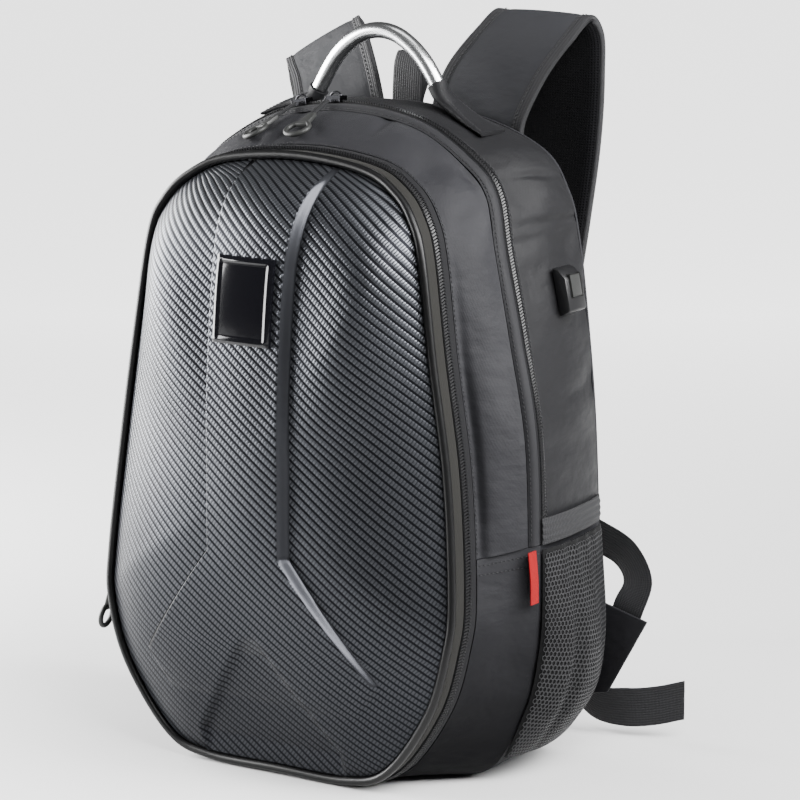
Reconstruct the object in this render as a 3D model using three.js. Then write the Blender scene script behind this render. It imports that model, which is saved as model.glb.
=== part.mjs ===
// A hard shell backpack: a moulded front shell on a zipped, soft body with a mesh pocket on each side.
// Millimetres. +Z is up, the shell faces -Y, +X is the viewer's right, and the origin is the middle of the flat base.
import * as THREE from 'three';

// Driving sizes of the shell's edge, the main zip's line and the back edge: half width and height of each
const shell = { half: 151, top: 452, front: -91, lean: 31 };
const mainZip = { half: 181, top: 481, front: -18, lean: 30 };
const backEdge = { half: 173, top: 478, front: 76, lean: 0 };
const centreHeight = 225;

// Walls and the clearance between pieces that touch
const wall = 2;
const shellWall = 2.6;
const gap = 0.3;

// Shell relief
const domeDepth = 42;
const spine = { raise: 8.5, half: 35, wallWidth: 5.5, topHalf: 38, bendHeight: 172, footHalf: 104, footHeight: 84 };
const notch = { depth: 6, apexHeight: 107, footHeight: 26, footHalf: 58, edge: 6, apexHalf: 3 };
const badgeSize = { width: 49, height: 62, thick: 3.5, centreHeight: 356 };

// Front zip: piping, woven rim strip, then the coil on its tape
const pipingRadius = 3.2;
const rimStrip = { from: 4, to: 14, out: 1.5 };
const zipTape = { to: 26, out: 4, crest: 1.6 };

// The seam between the lower wrap and the parts over it, as a place along each edge line
const seamPlace = 5.33;
const flapWidth = 9;
const mainCoilWidth = 8;
const pocket = { bottom: 2.35, top: 5.5, bulge: 22, wall: 1.6, front: 0.01 };

const strapThick = 9;
const webbingThick = 1.8;
const handle = { radius: 6, y: 47, sleeveRadius: 7.5, footShare: 0.52 };
const padThick = 9;
const sliderSize = [13, 9, 5];
const hood = { width: 19, height: 36, out: 9.5, place: 7.27, share: 0.56 };

// Each edge line is read on the right side only, from the bottom centre to the top centre.
// side is a share of its half width, up a share of its height, lean a share of its lean back.
const frontRows = [
  [0, 0.009, 0.06], [0.41, 0.01, 0.06], [0.65, 0.038, 0.06], [0.887, 0.144, 0], [0.987, 0.248, 0],
  [1, 0.332, 0.13], [0.947, 0.52, 0.32], [0.861, 0.704, 0.35], [0.788, 0.858, 0.45], [0.722, 0.914, 0.58],
  [0.603, 0.956, 0.77], [0.397, 0.987, 0.94], [0, 1, 1],
];
const mainRows = [
  [0, 0, 0], [0.365, 0, 0], [0.751, 0.014, 0], [0.917, 0.114, 0], [0.983, 0.208, 0],
  [1, 0.312, 0], [0.983, 0.53, 0], [0.884, 0.682, 0.22], [0.785, 0.802, 0.47], [0.707, 0.888, 0.75],
  [0.583, 0.934, 0.85], [0.331, 0.983, 0.97], [0, 1, 1],
];
const backRows = [
  [0, 0, 0], [0.382, 0, 0], [0.751, 0.015, 0], [0.925, 0.105, 0], [0.983, 0.192, 0],
  [1, 0.314, 0], [0.977, 0.533, 0], [0.925, 0.718, 0], [0.884, 0.82, 0], [0.838, 0.879, 0],
  [0.717, 0.94, 0], [0.405, 0.983, 0], [0, 0.994, 0],
];
const placesRound = 2 * (frontRows.length - 1);

// Folds in the cloth: place along the edge lines, share from front to back, their spreads and the depth
const gussetFolds = [
  { at: 10.4, share: 0.45, spread: 0.55, across: 0.3, depth: 4.5 },
  { at: 8.6, share: 0.6, spread: 0.4, across: 0.35, depth: 2.5 },
  { at: 15.2, share: 0.5, spread: 0.6, across: 0.3, depth: 3 },
];
const rearFolds = [
  { at: 8.9, share: 0.25, spread: 0.35, across: 0.2, depth: 3 },
  { at: 7.9, share: 0.75, spread: 0.3, across: 0.2, depth: 2.5 },
  { at: 6.6, share: 0.3, spread: 0.25, across: 0.3, depth: 2 },
  { at: 16.1, share: 0.5, spread: 0.5, across: 0.25, depth: 3 },
  { at: 10.75, share: 0.5, spread: 0.5, across: 0.35, depth: 5 },
  { at: 13.25, share: 0.5, spread: 0.5, across: 0.35, depth: 5 },
];
const wrapFolds = [
  { at: 3.9, share: 0.2, spread: 0.5, across: 0.08, depth: 2 },
  { at: 20.2, share: 0.2, spread: 0.5, across: 0.08, depth: 2 },
];
const pocketFolds = [
  { at: 3.8, share: 0.3, spread: 1.6, across: 0.06, depth: 4 },
  { at: 4.6, share: 0.72, spread: 0.7, across: 0.1, depth: 3 },
];

function paint(color, roughness, metalness = 0) {
  return new THREE.MeshStandardMaterial({ color, roughness, metalness });
}

const shellPaint = paint(0x17191d, 0.38);
const rubberPaint = paint(0x2a2b2c, 0.6);
const stripPaint = paint(0x35342f, 0.85);
const coilPaint = paint(0x1f1f21, 0.5);
const nylonPaint = paint(0x26262b, 0.62);
const meshPaint = paint(0x121214, 0.8);
const tapePaint = paint(0x232426, 0.75);
const redPaint = paint(0xc8202c, 0.7);
const metalPaint = paint(0xc6c8ca, 0.28, 1);
const glossPaint = paint(0x08080a, 0.12);
const plasticPaint = paint(0x141416, 0.42);

const bag = new THREE.Group();

function addMesh(name, geometry, material) {
  const mesh = new THREE.Mesh(geometry, material);
  mesh.name = name;
  bag.add(mesh);
  return mesh;
}

// An edge line as a function of its place, 0 at the bottom centre and 12 at the top centre
function edgeLine(rows, size) {
  const right = rows.map(([side, up, lean]) => (
    new THREE.Vector3(side * size.half, size.front + lean * size.lean, up * size.top)));
  const left = right.slice(1, -1).reverse().map((p) => new THREE.Vector3(-p.x, p.y, p.z));
  const curve = new THREE.CatmullRomCurve3([...right, ...left], true, 'catmullrom', 0.5);
  return (place) => {
    const turn = place / placesRound;
    const point = curve.getPoint(turn - Math.floor(turn));
    point.z = Math.max(point.z, 0);
    return point;
  };
}

// A line moved outward in its own outline and back along Y
function moved(line, out, back, lowest = 0) {
  return (place) => {
    const along = line(place + 0.05).sub(line(place - 0.05));
    const outward = new THREE.Vector3(along.z, 0, -along.x).normalize();
    const point = line(place).addScaledVector(outward, out);
    point.y += back;
    point.z = Math.max(point.z, lowest);
    return point;
  };
}

const piping = edgeLine(frontRows, shell);
const zipEdge = moved(piping, zipTape.out, zipTape.to);
const mainLine = edgeLine(mainRows, mainZip);
const backLine = edgeLine(backRows, backEdge);

function foldDepth(folds, place, share) {
  let depth = 0;
  for (const fold of folds) {
    const along = (place - fold.at) / fold.spread;
    const across = (share - fold.share) / fold.across;
    depth += fold.depth * Math.exp(-along * along - across * across);
  }
  return depth;
}

function evenly(from, to, count) {
  return Array.from({ length: count + 1 }, (_, i) => from + (to - from) * i / count);
}

// The unit normals of a grid of points, pointing to the outer side
function gridNormals(grid, closed) {
  const last = grid.length - 1;
  const width = grid[0].length - 1;
  return grid.map((row, i) => row.map((point, j) => {
    const before = closed ? grid[(i + last) % (last + 1)] : grid[Math.max(i - 1, 0)];
    const after = closed ? grid[(i + 1) % (last + 1)] : grid[Math.min(i + 1, last)];
    const along = after[j].clone().sub(before[j]);
    const across = row[Math.min(j + 1, width)].clone().sub(row[Math.max(j - 1, 0)]);
    return across.cross(along).normalize();
  }));
}

// A closed body from its points and triangles, turned so that its faces point out
function solid(points, triangles) {
  let volume = 0;
  for (let i = 0; i < triangles.length; i += 3) {
    const [a, b, c] = triangles.slice(i, i + 3).map((k) => points[k]);
    volume += a.dot(b.clone().cross(c));
  }
  const facing = volume > 0 ? triangles : [...triangles].reverse();
  const geometry = new THREE.BufferGeometry();
  geometry.setAttribute('position', new THREE.Float32BufferAttribute(points.flatMap((p) => [p.x, p.y, p.z]), 3));
  geometry.setIndex(facing);
  geometry.computeVertexNormals();
  return geometry;
}

// A closed sheet of one thickness: the grid is its outer face, and the inner face lies behind it
function sheet(grid, thickness, closed = false, normals = gridNormals(grid, closed)) {
  const inner = grid.map((row, i) => row.map((p, j) => p.clone().addScaledVector(normals[i][j], -thickness)));
  return slab(grid, inner, closed);
}

// A closed body between an outer and an inner grid
function slab(grid, inner, closed = false) {
  const rows = grid.length;
  const width = grid[0].length;
  const points = [...grid.flat(), ...inner.flat()];
  const outerAt = (i, j) => (i % rows) * width + j;
  const innerAt = (i, j) => rows * width + outerAt(i, j);
  const triangles = [];
  const quad = (a, b, c, d) => triangles.push(a, b, c, a, c, d);
  const steps = closed ? rows : rows - 1;
  for (let i = 0; i < steps; i += 1) {
    for (let j = 0; j < width - 1; j += 1) {
      quad(outerAt(i, j), outerAt(i + 1, j), outerAt(i + 1, j + 1), outerAt(i, j + 1));
      quad(innerAt(i, j), innerAt(i, j + 1), innerAt(i + 1, j + 1), innerAt(i + 1, j));
    }
    quad(outerAt(i, 0), innerAt(i, 0), innerAt(i + 1, 0), outerAt(i + 1, 0));
    quad(outerAt(i, width - 1), outerAt(i + 1, width - 1), innerAt(i + 1, width - 1), innerAt(i, width - 1));
  }
  if (!closed) {
    for (let j = 0; j < width - 1; j += 1) {
      quad(outerAt(0, j), outerAt(0, j + 1), innerAt(0, j + 1), innerAt(0, j));
      quad(outerAt(rows - 1, j), innerAt(rows - 1, j), innerAt(rows - 1, j + 1), outerAt(rows - 1, j + 1));
    }
  }
  return solid(points, triangles);
}

// The surface between two edge lines, with folds pressed in and a puff between the lines
function panel(lineA, lineB, { folds = [], puff = 0 } = {}) {
  const flat = (place, share) => lineA(place).lerp(lineB(place), share);
  return (place, share, lift = 0) => {
    const along = flat(place + 0.02, share).sub(flat(place - 0.02, share));
    const across = lineB(place).sub(lineA(place));
    const out = across.cross(along).normalize();
    const swell = puff * Math.sin(Math.PI * share) - foldDepth(folds, place, share);
    const point = flat(place, share).addScaledVector(out, swell + lift);
    point.z = Math.max(point.z, 0.02);
    return point;
  };
}

// A panel's grid of points, kept clear of the pieces beside it
function panelGrid(surface, places, shares, clear = gap) {
  return places.map((place) => {
    const inset = clear / surface(place, 0).distanceTo(surface(place, 1));
    return shares.map((share) => surface(place, inset + share * (1 - 2 * inset)));
  });
}

// A tube of round section along a closed line
function closedTube(line, places, radius, sides) {
  const ring = places.slice(0, -1).map((place) => {
    const middle = line(place);
    const along = line(place + 0.05).sub(line(place - 0.05)).normalize();
    const outward = new THREE.Vector3(along.z, 0, -along.x).normalize();
    const up = outward.clone().cross(along).normalize();
    return evenly(0, 2 * Math.PI, sides).slice(0, -1).map((angle) => (
      middle.clone().addScaledVector(outward, radius * Math.cos(angle)).addScaledVector(up, radius * Math.sin(angle))));
  });
  const triangles = [];
  const at = (i, j) => (i % ring.length) * sides + (j % sides);
  for (let i = 0; i < ring.length; i += 1) {
    for (let j = 0; j < sides; j += 1) {
      triangles.push(at(i, j), at(i, j + 1), at(i + 1, j + 1), at(i, j), at(i + 1, j + 1), at(i + 1, j));
    }
  }
  return solid(ring.flat(), triangles);
}

// A flat band along hand-set rows of [x, y, z, half-width vector], with an even thickness
function ribbon(rows, thickness, steps, columns = 2, crown = 0) {
  const middle = new THREE.CatmullRomCurve3(rows.map(([x, y, z]) => new THREE.Vector3(x, y, z)));
  const halves = new THREE.CatmullRomCurve3(rows.map((row) => new THREE.Vector3(row[3], row[4], row[5])));
  const grid = evenly(0, 1, steps).map((t) => {
    const centre = middle.getPoint(t);
    const half = halves.getPoint(t);
    const normal = half.clone().cross(middle.getTangent(t)).normalize();
    return evenly(-1, 1, columns - 1).map((side) => (
      centre.clone().addScaledVector(half, side).addScaledVector(normal, crown * (1 - side * side))));
  });
  return sheet(grid, thickness);
}

// The shell's surface, read by height and by columns that follow its grooves
const shellEdge = moved(piping, -pipingRadius - gap - 0.3, 0, 0.6);
const shellOutline = evenly(0, placesRound, 96).map((place) => shellEdge(place));

// The share of the way from the shell's centre to its edge, and the edge's depth there
function reach(x, z) {
  const dx = x;
  const dz = z - centreHeight;
  const distance = Math.hypot(dx, dz);
  if (distance < 1) return { share: 0, edge: shell.front + 10, climb: 0 };
  for (let i = 0; i < shellOutline.length - 1; i += 1) {
    const a = shellOutline[i];
    const b = shellOutline[i + 1];
    const ex = b.x - a.x;
    const ez = b.z - a.z;
    const az = a.z - centreHeight;
    const cross = dx * ez - dz * ex;
    const along = (a.x * ez - az * ex) / cross;
    const part = (a.x * dz - az * dx) / cross;
    if (along > 0 && part >= -1e-6 && part <= 1 + 1e-6) {
      return { share: 1 / along, edge: a.y + (b.y - a.y) * part, climb: dz / distance };
    }
  }
  return { share: 1, edge: shell.front, climb: 0 };
}

function domeDepthAt(x, z) {
  const { share, edge, climb } = reach(x, z);
  const fullness = 3.2 + 8 * Math.max(0, climb) ** 4;
  const plane = -80 + (edge + 80) * share ** 2;
  return plane - domeDepth * Math.max(0, 1 - share ** fullness);
}

function blend(value, from, to) {
  return Math.min(1, Math.max(0, (value - from) / (to - from)));
}

function spineHalf(z) {
  if (z >= spine.bendHeight) {
    return spine.half + (spine.topHalf - spine.half) * blend(z, 380, 440);
  }
  const down = blend(z, spine.bendHeight, spine.footHeight);
  const foot = spine.half + (spine.footHalf - spine.half) * down;
  return z < spine.footHeight ? foot - (spine.footHeight - z) * 0.75 : foot;
}

function spineRaise(z) {
  return spine.raise * blend(z, 58, 150) ** 0.7 * (1 - blend(z, 436, 449));
}

function notchHalf(z) {
  const down = blend(z, notch.apexHeight, notch.footHeight);
  return notch.apexHalf + (notch.footHalf - notch.apexHalf) * down;
}

function notchDepth(z) {
  return notch.depth * blend(z, notch.apexHeight + 3, notch.apexHeight - 12) * blend(z, 8, 24);
}

function edgeAtHeight(z) {
  let low = 1;
  let high = 11;
  for (let i = 0; i < 30; i += 1) {
    const middle = (low + high) / 2;
    if (shellEdge(middle).z < z) low = middle; else high = middle;
  }
  return shellEdge(low);
}

function edgeAtSide(x, low, high) {
  for (let i = 0; i < 30; i += 1) {
    const middle = (low + high) / 2;
    if (shellEdge(middle).x < x) low = middle; else high = middle;
  }
  return shellEdge(low);
}

const shellHeights = [9, 18, 30, 46, 64, 84, 100, 112, 130, 150, 172, 205, 250, 300, 345, 385, 412, 428, 437, 443];

function shellRow(end, z, middleRise) {
  const foot = Math.min(spineHalf(z), end.x * 0.9);
  const crest = foot - spine.wallWidth;
  const inner = Math.min(notchHalf(z), crest - 9);
  const columns = [0, inner, Math.min(inner + notch.edge, crest - 3), (crest + inner + notch.edge) / 2, crest, foot];
  for (const share of [0.3, 0.6, 0.85]) columns.push(foot + (end.x - foot) * share);
  const lifts = [notchDepth(z), notchDepth(z), 0, 0, 0, spineRaise(z), spineRaise(z), spineRaise(z), spineRaise(z)];
  const right = columns.map((x, k) => {
    const height = z + middleRise * (1 - (x / end.x) ** 2);
    return new THREE.Vector3(x, domeDepthAt(x, height) - spineRaise(z) + lifts[k], height);
  });
  right.push(end.clone());
  return [...right.slice(1).reverse().map((p) => new THREE.Vector3(-p.x, p.y, p.z)), ...right];
}

function makeShell() {
  const bottom = shellEdge(1);
  const top = shellEdge(11);
  const crown = shellEdge(12).z - top.z;
  const grid = [shellRow(bottom, bottom.z, 0).map((p) => edgeAtSide(p.x, -1, 1))];
  for (const z of shellHeights) grid.push(shellRow(edgeAtHeight(z), z, crown * blend(z, 380, 446) ** 2));
  grid.push(shellRow(top, top.z, 0).map((p) => edgeAtSide(p.x, 13, 11)));
  addMesh('hard_shell', sheet(grid, shellWall), shellPaint);
}

function makeBadge() {
  const rows = evenly(-0.5, 0.5, 4).map((share) => badgeSize.centreHeight + share * badgeSize.height);
  const out = badgeSize.thick + gap + spine.raise;
  const grid = rows.map((z) => evenly(-0.5, 0.5, 4).map((share) => (
    new THREE.Vector3(share * badgeSize.width, domeDepthAt(share * badgeSize.width, z) - out - 0.4, z))));
  addMesh('badge', sheet(grid, badgeSize.thick), glossPaint);
}

const aroundPlaces = evenly(0, placesRound, 60);
const upperPlaces = [
  ...evenly(seamPlace + 0.003, 8, 6), ...evenly(8, 11.5, 8).slice(1), 12,
  ...evenly(12.5, 16, 8), ...evenly(16, placesRound - seamPlace - 0.003, 6).slice(1),
];
const lowerPlaces = [
  ...evenly(-seamPlace + 0.003, -1, 14), -0.3, 0.3, ...evenly(1, seamPlace - 0.003, 14),
];

function makeFrontZip() {
  addMesh('shell_piping', closedTube(piping, evenly(0, placesRound, 72), pipingRadius, 8), rubberPaint);
  const stripFront = moved(piping, 0, rimStrip.from);
  const stripBack = moved(piping, rimStrip.out, rimStrip.to, 0.3);
  const closedPlaces = aroundPlaces.slice(0, -1);
  const rim = panelGrid(panel(stripFront, stripBack), closedPlaces, [0, 1]);
  addMesh('front_zip_rim', sheet(rim, wall, true), stripPaint);
  const coil = panelGrid(panel(stripBack, zipEdge), closedPlaces, [0, 0.15, 0.38, 0.6, 1]);
  const crested = coil.map((row, i) => row.map((point, j) => {
    const out = stripBack(closedPlaces[i]).sub(moved(piping, 0, rimStrip.to)(closedPlaces[i])).normalize();
    const raised = (j === 1 || j === 2) && point.z > 6;
    return raised ? point.clone().addScaledVector(out, zipTape.crest) : point;
  }));
  addMesh('front_zip_coil', sheet(crested, wall, true, gridNormals(coil, true)), coilPaint);
}

const flapFront = (place) => {
  const m = mainLine(place);
  return m.lerp(zipEdge(place), flapWidth / m.distanceTo(zipEdge(place)));
};
const mainCoilBack = (place) => {
  const m = mainLine(place);
  const b = backLine(place);
  return m.lerp(b, mainCoilWidth / m.distanceTo(b));
};
const gussetFace = panel(zipEdge, flapFront, { folds: gussetFolds, puff: 1.5 });
const flapFace = panel(flapFront, mainLine, { puff: 1.4 });
const coilFace = panel(mainLine, mainCoilBack, { puff: 1.2 });
const rearFace = panel(mainCoilBack, backLine, { folds: rearFolds, puff: 4 });

function makeUpperBody() {
  addMesh('front_gusset', sheet(panelGrid(gussetFace, upperPlaces, evenly(0, 1, 4)), wall), nylonPaint);
  addMesh('main_zip_flap', sheet(panelGrid(flapFace, upperPlaces, [0, 0.5, 1]), wall), nylonPaint);
  addMesh('main_zip_coil', sheet(panelGrid(coilFace, upperPlaces, [0, 0.3, 0.7, 1], 0.6), wall), coilPaint);
  addMesh('rear_body', sheet(panelGrid(rearFace, upperPlaces, evenly(0, 1, 5)), wall), nylonPaint);
}

// The lower wrap's outer face: from the front zip's edge to the widest line, then to the back edge
function wrapPoint(place, share) {
  const front = zipEdge(place);
  const middle = mainLine(place);
  const back = backLine(place);
  const frontPart = 0.3;
  if (share < frontPart) return front.lerp(middle, share / frontPart);
  return middle.lerp(back, (share - frontPart) / (1 - frontPart));
}

function makeWrap() {
  const shares = [0.0025, 0.15, 0.3, 0.45, 0.6, 0.8, 0.9965];
  const grid = lowerPlaces.map((place) => shares.map((share) => wrapPoint(place, share)));
  const normals = gridNormals(grid, false);
  const folded = grid.map((row, i) => row.map((point, j) => {
    if (point.z < 20) return point;
    const place = (lowerPlaces[i] + placesRound) % placesRound;
    return point.clone().addScaledVector(normals[i][j], -foldDepth(wrapFolds, place, shares[j]));
  }));
  addMesh('lower_wrap', sheet(folded, wall), nylonPaint);
}

// A side pocket: a loose mesh panel held at its front, back and bottom, open under its top band
function makePocket(side) {
  const places = [...evenly(pocket.bottom, 3.4, 3), ...evenly(3.4, pocket.top - 0.2, 7).slice(1)];
  const shares = [0, 0.1, 0.22, 0.34, 0.5, 0.66, 0.82, 0.93, 1];
  const bodyShare = (share) => 0.3 + 0.7 * (pocket.front + share * (0.985 - pocket.front));
  const outward = (place, share) => {
    const along = wrapPoint(place + 0.05, share).sub(wrapPoint(place - 0.05, share));
    const across = wrapPoint(place, Math.min(share + 0.02, 1)).sub(wrapPoint(place, share - 0.02));
    return across.cross(along).normalize();
  };
  const point = (place, share, lift) => {
    const onBody = wrapPoint(place, bodyShare(share)).addScaledVector(outward(place, bodyShare(share)), lift);
    return new THREE.Vector3(side * onBody.x, onBody.y, onBody.z);
  };
  const grid = places.map((place, i) => shares.map((share) => {
    const up = i / (places.length - 1);
    const hang = Math.sin(Math.PI * Math.min(1, 0.04 + up * 0.9)) ** 0.7;
    const swell = pocket.bulge * hang * Math.sin(Math.PI * share) ** 0.6;
    const fold = foldDepth(pocketFolds, place, share);
    return point(place, share, pocket.wall + 0.6 + Math.max(swell - fold * hang, 0));
  }));
  const facing = side > 0 ? grid : grid.map((row) => [...row].reverse());
  const name = side > 0 ? 'right' : 'left';
  addMesh(`side_pocket_${name}`, sheet(facing, pocket.wall), meshPaint);
  const bandPlaces = [pocket.top - 0.17, pocket.top];
  const bandGrid = bandPlaces.map((place) => shares.map((share) => (
    point(place, share, pocket.wall + 0.6 + 5 * Math.sin(Math.PI * share) ** 0.6))));
  const bandFacing = side > 0 ? bandGrid : bandGrid.map((row) => [...row].reverse());
  addMesh(`pocket_band_${name}`, sheet(bandFacing, pocket.wall), tapePaint);
}

// The back panel's outer face swells a little toward the wearer
function backFace(x, z) {
  const belly = 4 * (1 - (x / backEdge.half) ** 2) * Math.sin(Math.PI * Math.min(z / backEdge.top, 1));
  return backEdge.front + gap + wall + Math.max(belly, 0);
}

function makeBack() {
  const places = [0.8, 1.2, 1.5, 1.8, 2.1, 2.5, 3, 3.5, 4, 5, 6, 7, 8, 9, 9.5, 10, 10.4, 10.8, 11.2];
  const grid = places.map((place) => {
    const edge = backLine(place);
    return evenly(1, -1, 6).map((share) => {
      const x = share * (edge.x - 0.6);
      return new THREE.Vector3(x, backFace(x, edge.z), Math.max(edge.z, 0.5));
    });
  });
  addMesh('back_panel', sheet(grid, wall), nylonPaint);
}

function makeBackPad(side) {
  const heights = [40, 48, ...evenly(80, 360, 6), 392, 400];
  const shares = [-1, -0.85, 0, 0.85, 1];
  const face = (lift) => heights.map((z, i) => shares.map((share, j) => {
    const x = side * 68 - share * 46;
    const inside = i > 0 && i < heights.length - 1 && j > 0 && j < shares.length - 1;
    return new THREE.Vector3(x, backFace(x, z) + lift(inside), z);
  }));
  const pad = slab(face((inside) => (inside ? padThick : padThick - 4)), face(() => 0.5));
  addMesh(`back_pad_${side > 0 ? 'right' : 'left'}`, pad, meshPaint);
}

// Shoulder straps: each rises from the back top seam, folds over and falls behind the back
const rightStrapRows = [
  [60, 81.2, 458, 38, 0, -4], [62, 81.5, 472, 38, 0.4, -4], [73, 88, 502, 38, 4, -3],
  [90, 100, 530, 37, 5, -2], [100, 113, 545, 36, 6, -1], [102, 126, 532, 37, 4, 0], [100, 134, 500, 37, 2, 0],
  [95, 140, 450, 37, 0, 0], [85, 143, 385, 36, 0, 0],
  [76, 140, 310, 34, 0, 0], [76, 130, 245, 30, 0, 0], [82, 118, 200, 24, 0, 0],
];
const leftStrapRows = [
  [-60, 81.2, 456, 38, 0, 4], [-62, 81.5, 468, 38, -0.4, 5], [-72, 88, 492, 38, -3, 9],
  [-86, 99, 508, 37, -4, 16], [-98, 112, 514, 36, -4, 19],
  [-102, 126, 502, 37, -3, 17], [-101, 134, 476, 37, -1, 11], [-96, 140, 430, 37, 0, 6], [-86, 143, 372, 36, 0, 2],
  [-77, 140, 305, 34, 0, 0], [-76, 130, 245, 30, 0, 0], [-82, 118, 200, 24, 0, 0],
];

function makeStraps() {
  addMesh('shoulder_strap_right', ribbon(rightStrapRows, strapThick, 26, 5, 1.5), nylonPaint);
  addMesh('shoulder_strap_left', ribbon(leftStrapRows, strapThick, 26, 5, 1.5), nylonPaint);
}

function makeHangLoop() {
  const rows = [
    [0, 79.4, 468, 12.5, 0, 0], [0, 80.5, 490, 12.5, 0, 0], [0, 83, 506, 12.5, 0, 0], [0, 88.5, 513, 12.5, 0, 0],
    [0, 94, 506, 12.5, 0, 0], [0, 93, 492, 12.5, 0, 0], [0, 85.6, 478, 12.5, 0, 0], [0, 84, 468, 12.5, 0, 0],
  ];
  addMesh('hang_loop', ribbon(rows, 2, 14), nylonPaint);
}

// Adjusters, and the webbing that runs from each to the side tab, with its loose tail
function makeAdjuster(side) {
  const outline = new THREE.Shape();
  const halfWidth = 22;
  const halfHeight = 15;
  outline.moveTo(-halfWidth, -halfHeight).lineTo(halfWidth, -halfHeight);
  outline.lineTo(halfWidth, halfHeight).lineTo(-halfWidth, halfHeight).closePath();
  for (const centre of [-7, 7]) {
    const slot = new THREE.Path();
    slot.moveTo(-16, centre - 3.2).lineTo(-16, centre + 3.2).lineTo(16, centre + 3.2).lineTo(16, centre - 3.2);
    outline.holes.push(slot.closePath());
  }
  const geometry = new THREE.ExtrudeGeometry(outline, { depth: 4, bevelEnabled: false });
  const mesh = addMesh(`adjuster_${side > 0 ? 'right' : 'left'}`, geometry, plasticPaint);
  mesh.rotation.x = Math.PI / 2;
  mesh.position.set(side * 82, 115.5, 184.4);
}

function makeWebbing(side) {
  const name = side > 0 ? 'right' : 'left';
  const run = [
    [66, 111.1, 178, 0, 0, 13], [104, 110.6, 174, 2, 0, 13], [150, 106, 162, 4, 0, 12], [182, 101, 151, 8, 0, 9],
    [197, 93, 134, 12, 0, 2], [194, 86, 117, 12, 0, -3], [189, 84.6, 102, 12, 0, -3],
  ];
  const tail = [
    [82, 117.8, 192, 13, 0, 0], [85, 118.6, 170, 13, 0, 1], [96, 127, 136, 13, 0, 3], [106, 134, 90, 13, -2, 4],
    [116, 138, 45, 12, -4, 8], [134, 138, 24, 6, -3, 13], [160, 140, 22, 1, 0, 15], [182, 146, 25, 0, 0, 15], [203, 153, 31, 0, 0, 15],
  ];
  const flipped = (rows) => rows.map(([x, y, z, a, b, c]) => [side * x, y, z, a, side * b, side * c]);
  addMesh(`webbing_${name}`, ribbon(flipped(run), webbingThick, 12), tapePaint);
  addMesh(`web_tail_${name}`, ribbon(flipped(tail), webbingThick, 18), tapePaint);
}

function makeWebTab(side) {
  const outline = new THREE.Shape();
  const corners = [[150, 44], [179, 50], [212, 108], [174, 118]].map(([x, z]) => new THREE.Vector2(side * x, z));
  outline.setFromPoints(corners);
  const geometry = new THREE.ExtrudeGeometry(outline, { depth: 3, bevelEnabled: false });
  geometry.rotateX(Math.PI / 2);
  const mesh = addMesh(`web_tab_${side > 0 ? 'right' : 'left'}`, geometry, nylonPaint);
  mesh.position.y = backEdge.front + 6.4;
}

function makeHandle() {
  const half = [[49, 496], [44, 504], [37, 513], [27, 522], [14, 529.5], [0, 532]];
  const points = [[-54.9, 486], ...half.map(([x, z]) => [-x, z]), ...half.slice(0, -1).reverse()];
  const path = new THREE.CatmullRomCurve3(points.map(([x, z]) => new THREE.Vector3(x, handle.y, z)));
  const circle = (radius) => new THREE.Shape().absarc(0, 0, radius, 0, 2 * Math.PI);
  const tube = new THREE.ExtrudeGeometry(circle(handle.radius), { extrudePath: path, steps: 20, curveSegments: 6 });
  addMesh('handle_tube', tube, metalPaint);
  for (const side of [-1, 1]) {
    const foot = (place, lift) => rearFace(12 + side * (place - 12), handle.footShare, lift);
    const top = side > 0 ? [[49.25, 495.6], [54, 487.5]] : [[-55.4, 485.2], [-59.2, 479.6]];
    const rightEnd = [foot(11.05, 6.4), foot(10.75, 3.7), foot(10.45, 2.4)];
    const end = side > 0 ? rightEnd : [foot(10.75, 5.2), foot(10.45, 4.2)];
    const centre = new THREE.CatmullRomCurve3([
      ...top.map(([x, z]) => new THREE.Vector3(x, handle.y, z)), ...end,
    ]);
    const rings = evenly(0, 1, 8).map((t) => {
      const middle = centre.getPoint(t);
      const wide = new THREE.Vector3(0, 1, 0);
      const high = centre.getTangent(t).cross(wide).normalize();
      const spread = handle.sleeveRadius * (1 + 1.1 * t * t);
      const flat = handle.sleeveRadius - (handle.sleeveRadius - 1.6) * t;
      return evenly(0, 2 * Math.PI, 10).slice(0, -1).map((angle) => (
        middle.clone().addScaledVector(wide, spread * Math.cos(angle)).addScaledVector(high, flat * Math.sin(angle))));
    });
    addMesh(`handle_sleeve_${side > 0 ? 'right' : 'left'}`, cappedTube(rings), nylonPaint);
  }
}

// A tube through given rings, closed by a flat fan at each end
function cappedTube(rings) {
  const sides = rings[0].length;
  const points = rings.flat();
  const triangles = [];
  const at = (i, j) => i * sides + (j % sides);
  for (let i = 0; i < rings.length - 1; i += 1) {
    for (let j = 0; j < sides; j += 1) {
      triangles.push(at(i, j), at(i, j + 1), at(i + 1, j + 1), at(i, j), at(i + 1, j + 1), at(i + 1, j));
    }
  }
  for (let j = 1; j < sides - 1; j += 1) {
    triangles.push(at(0, 0), at(0, j + 1), at(0, j));
    triangles.push(at(rings.length - 1, 0), at(rings.length - 1, j), at(rings.length - 1, j + 1));
  }
  return solid(points, triangles);
}

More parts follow.
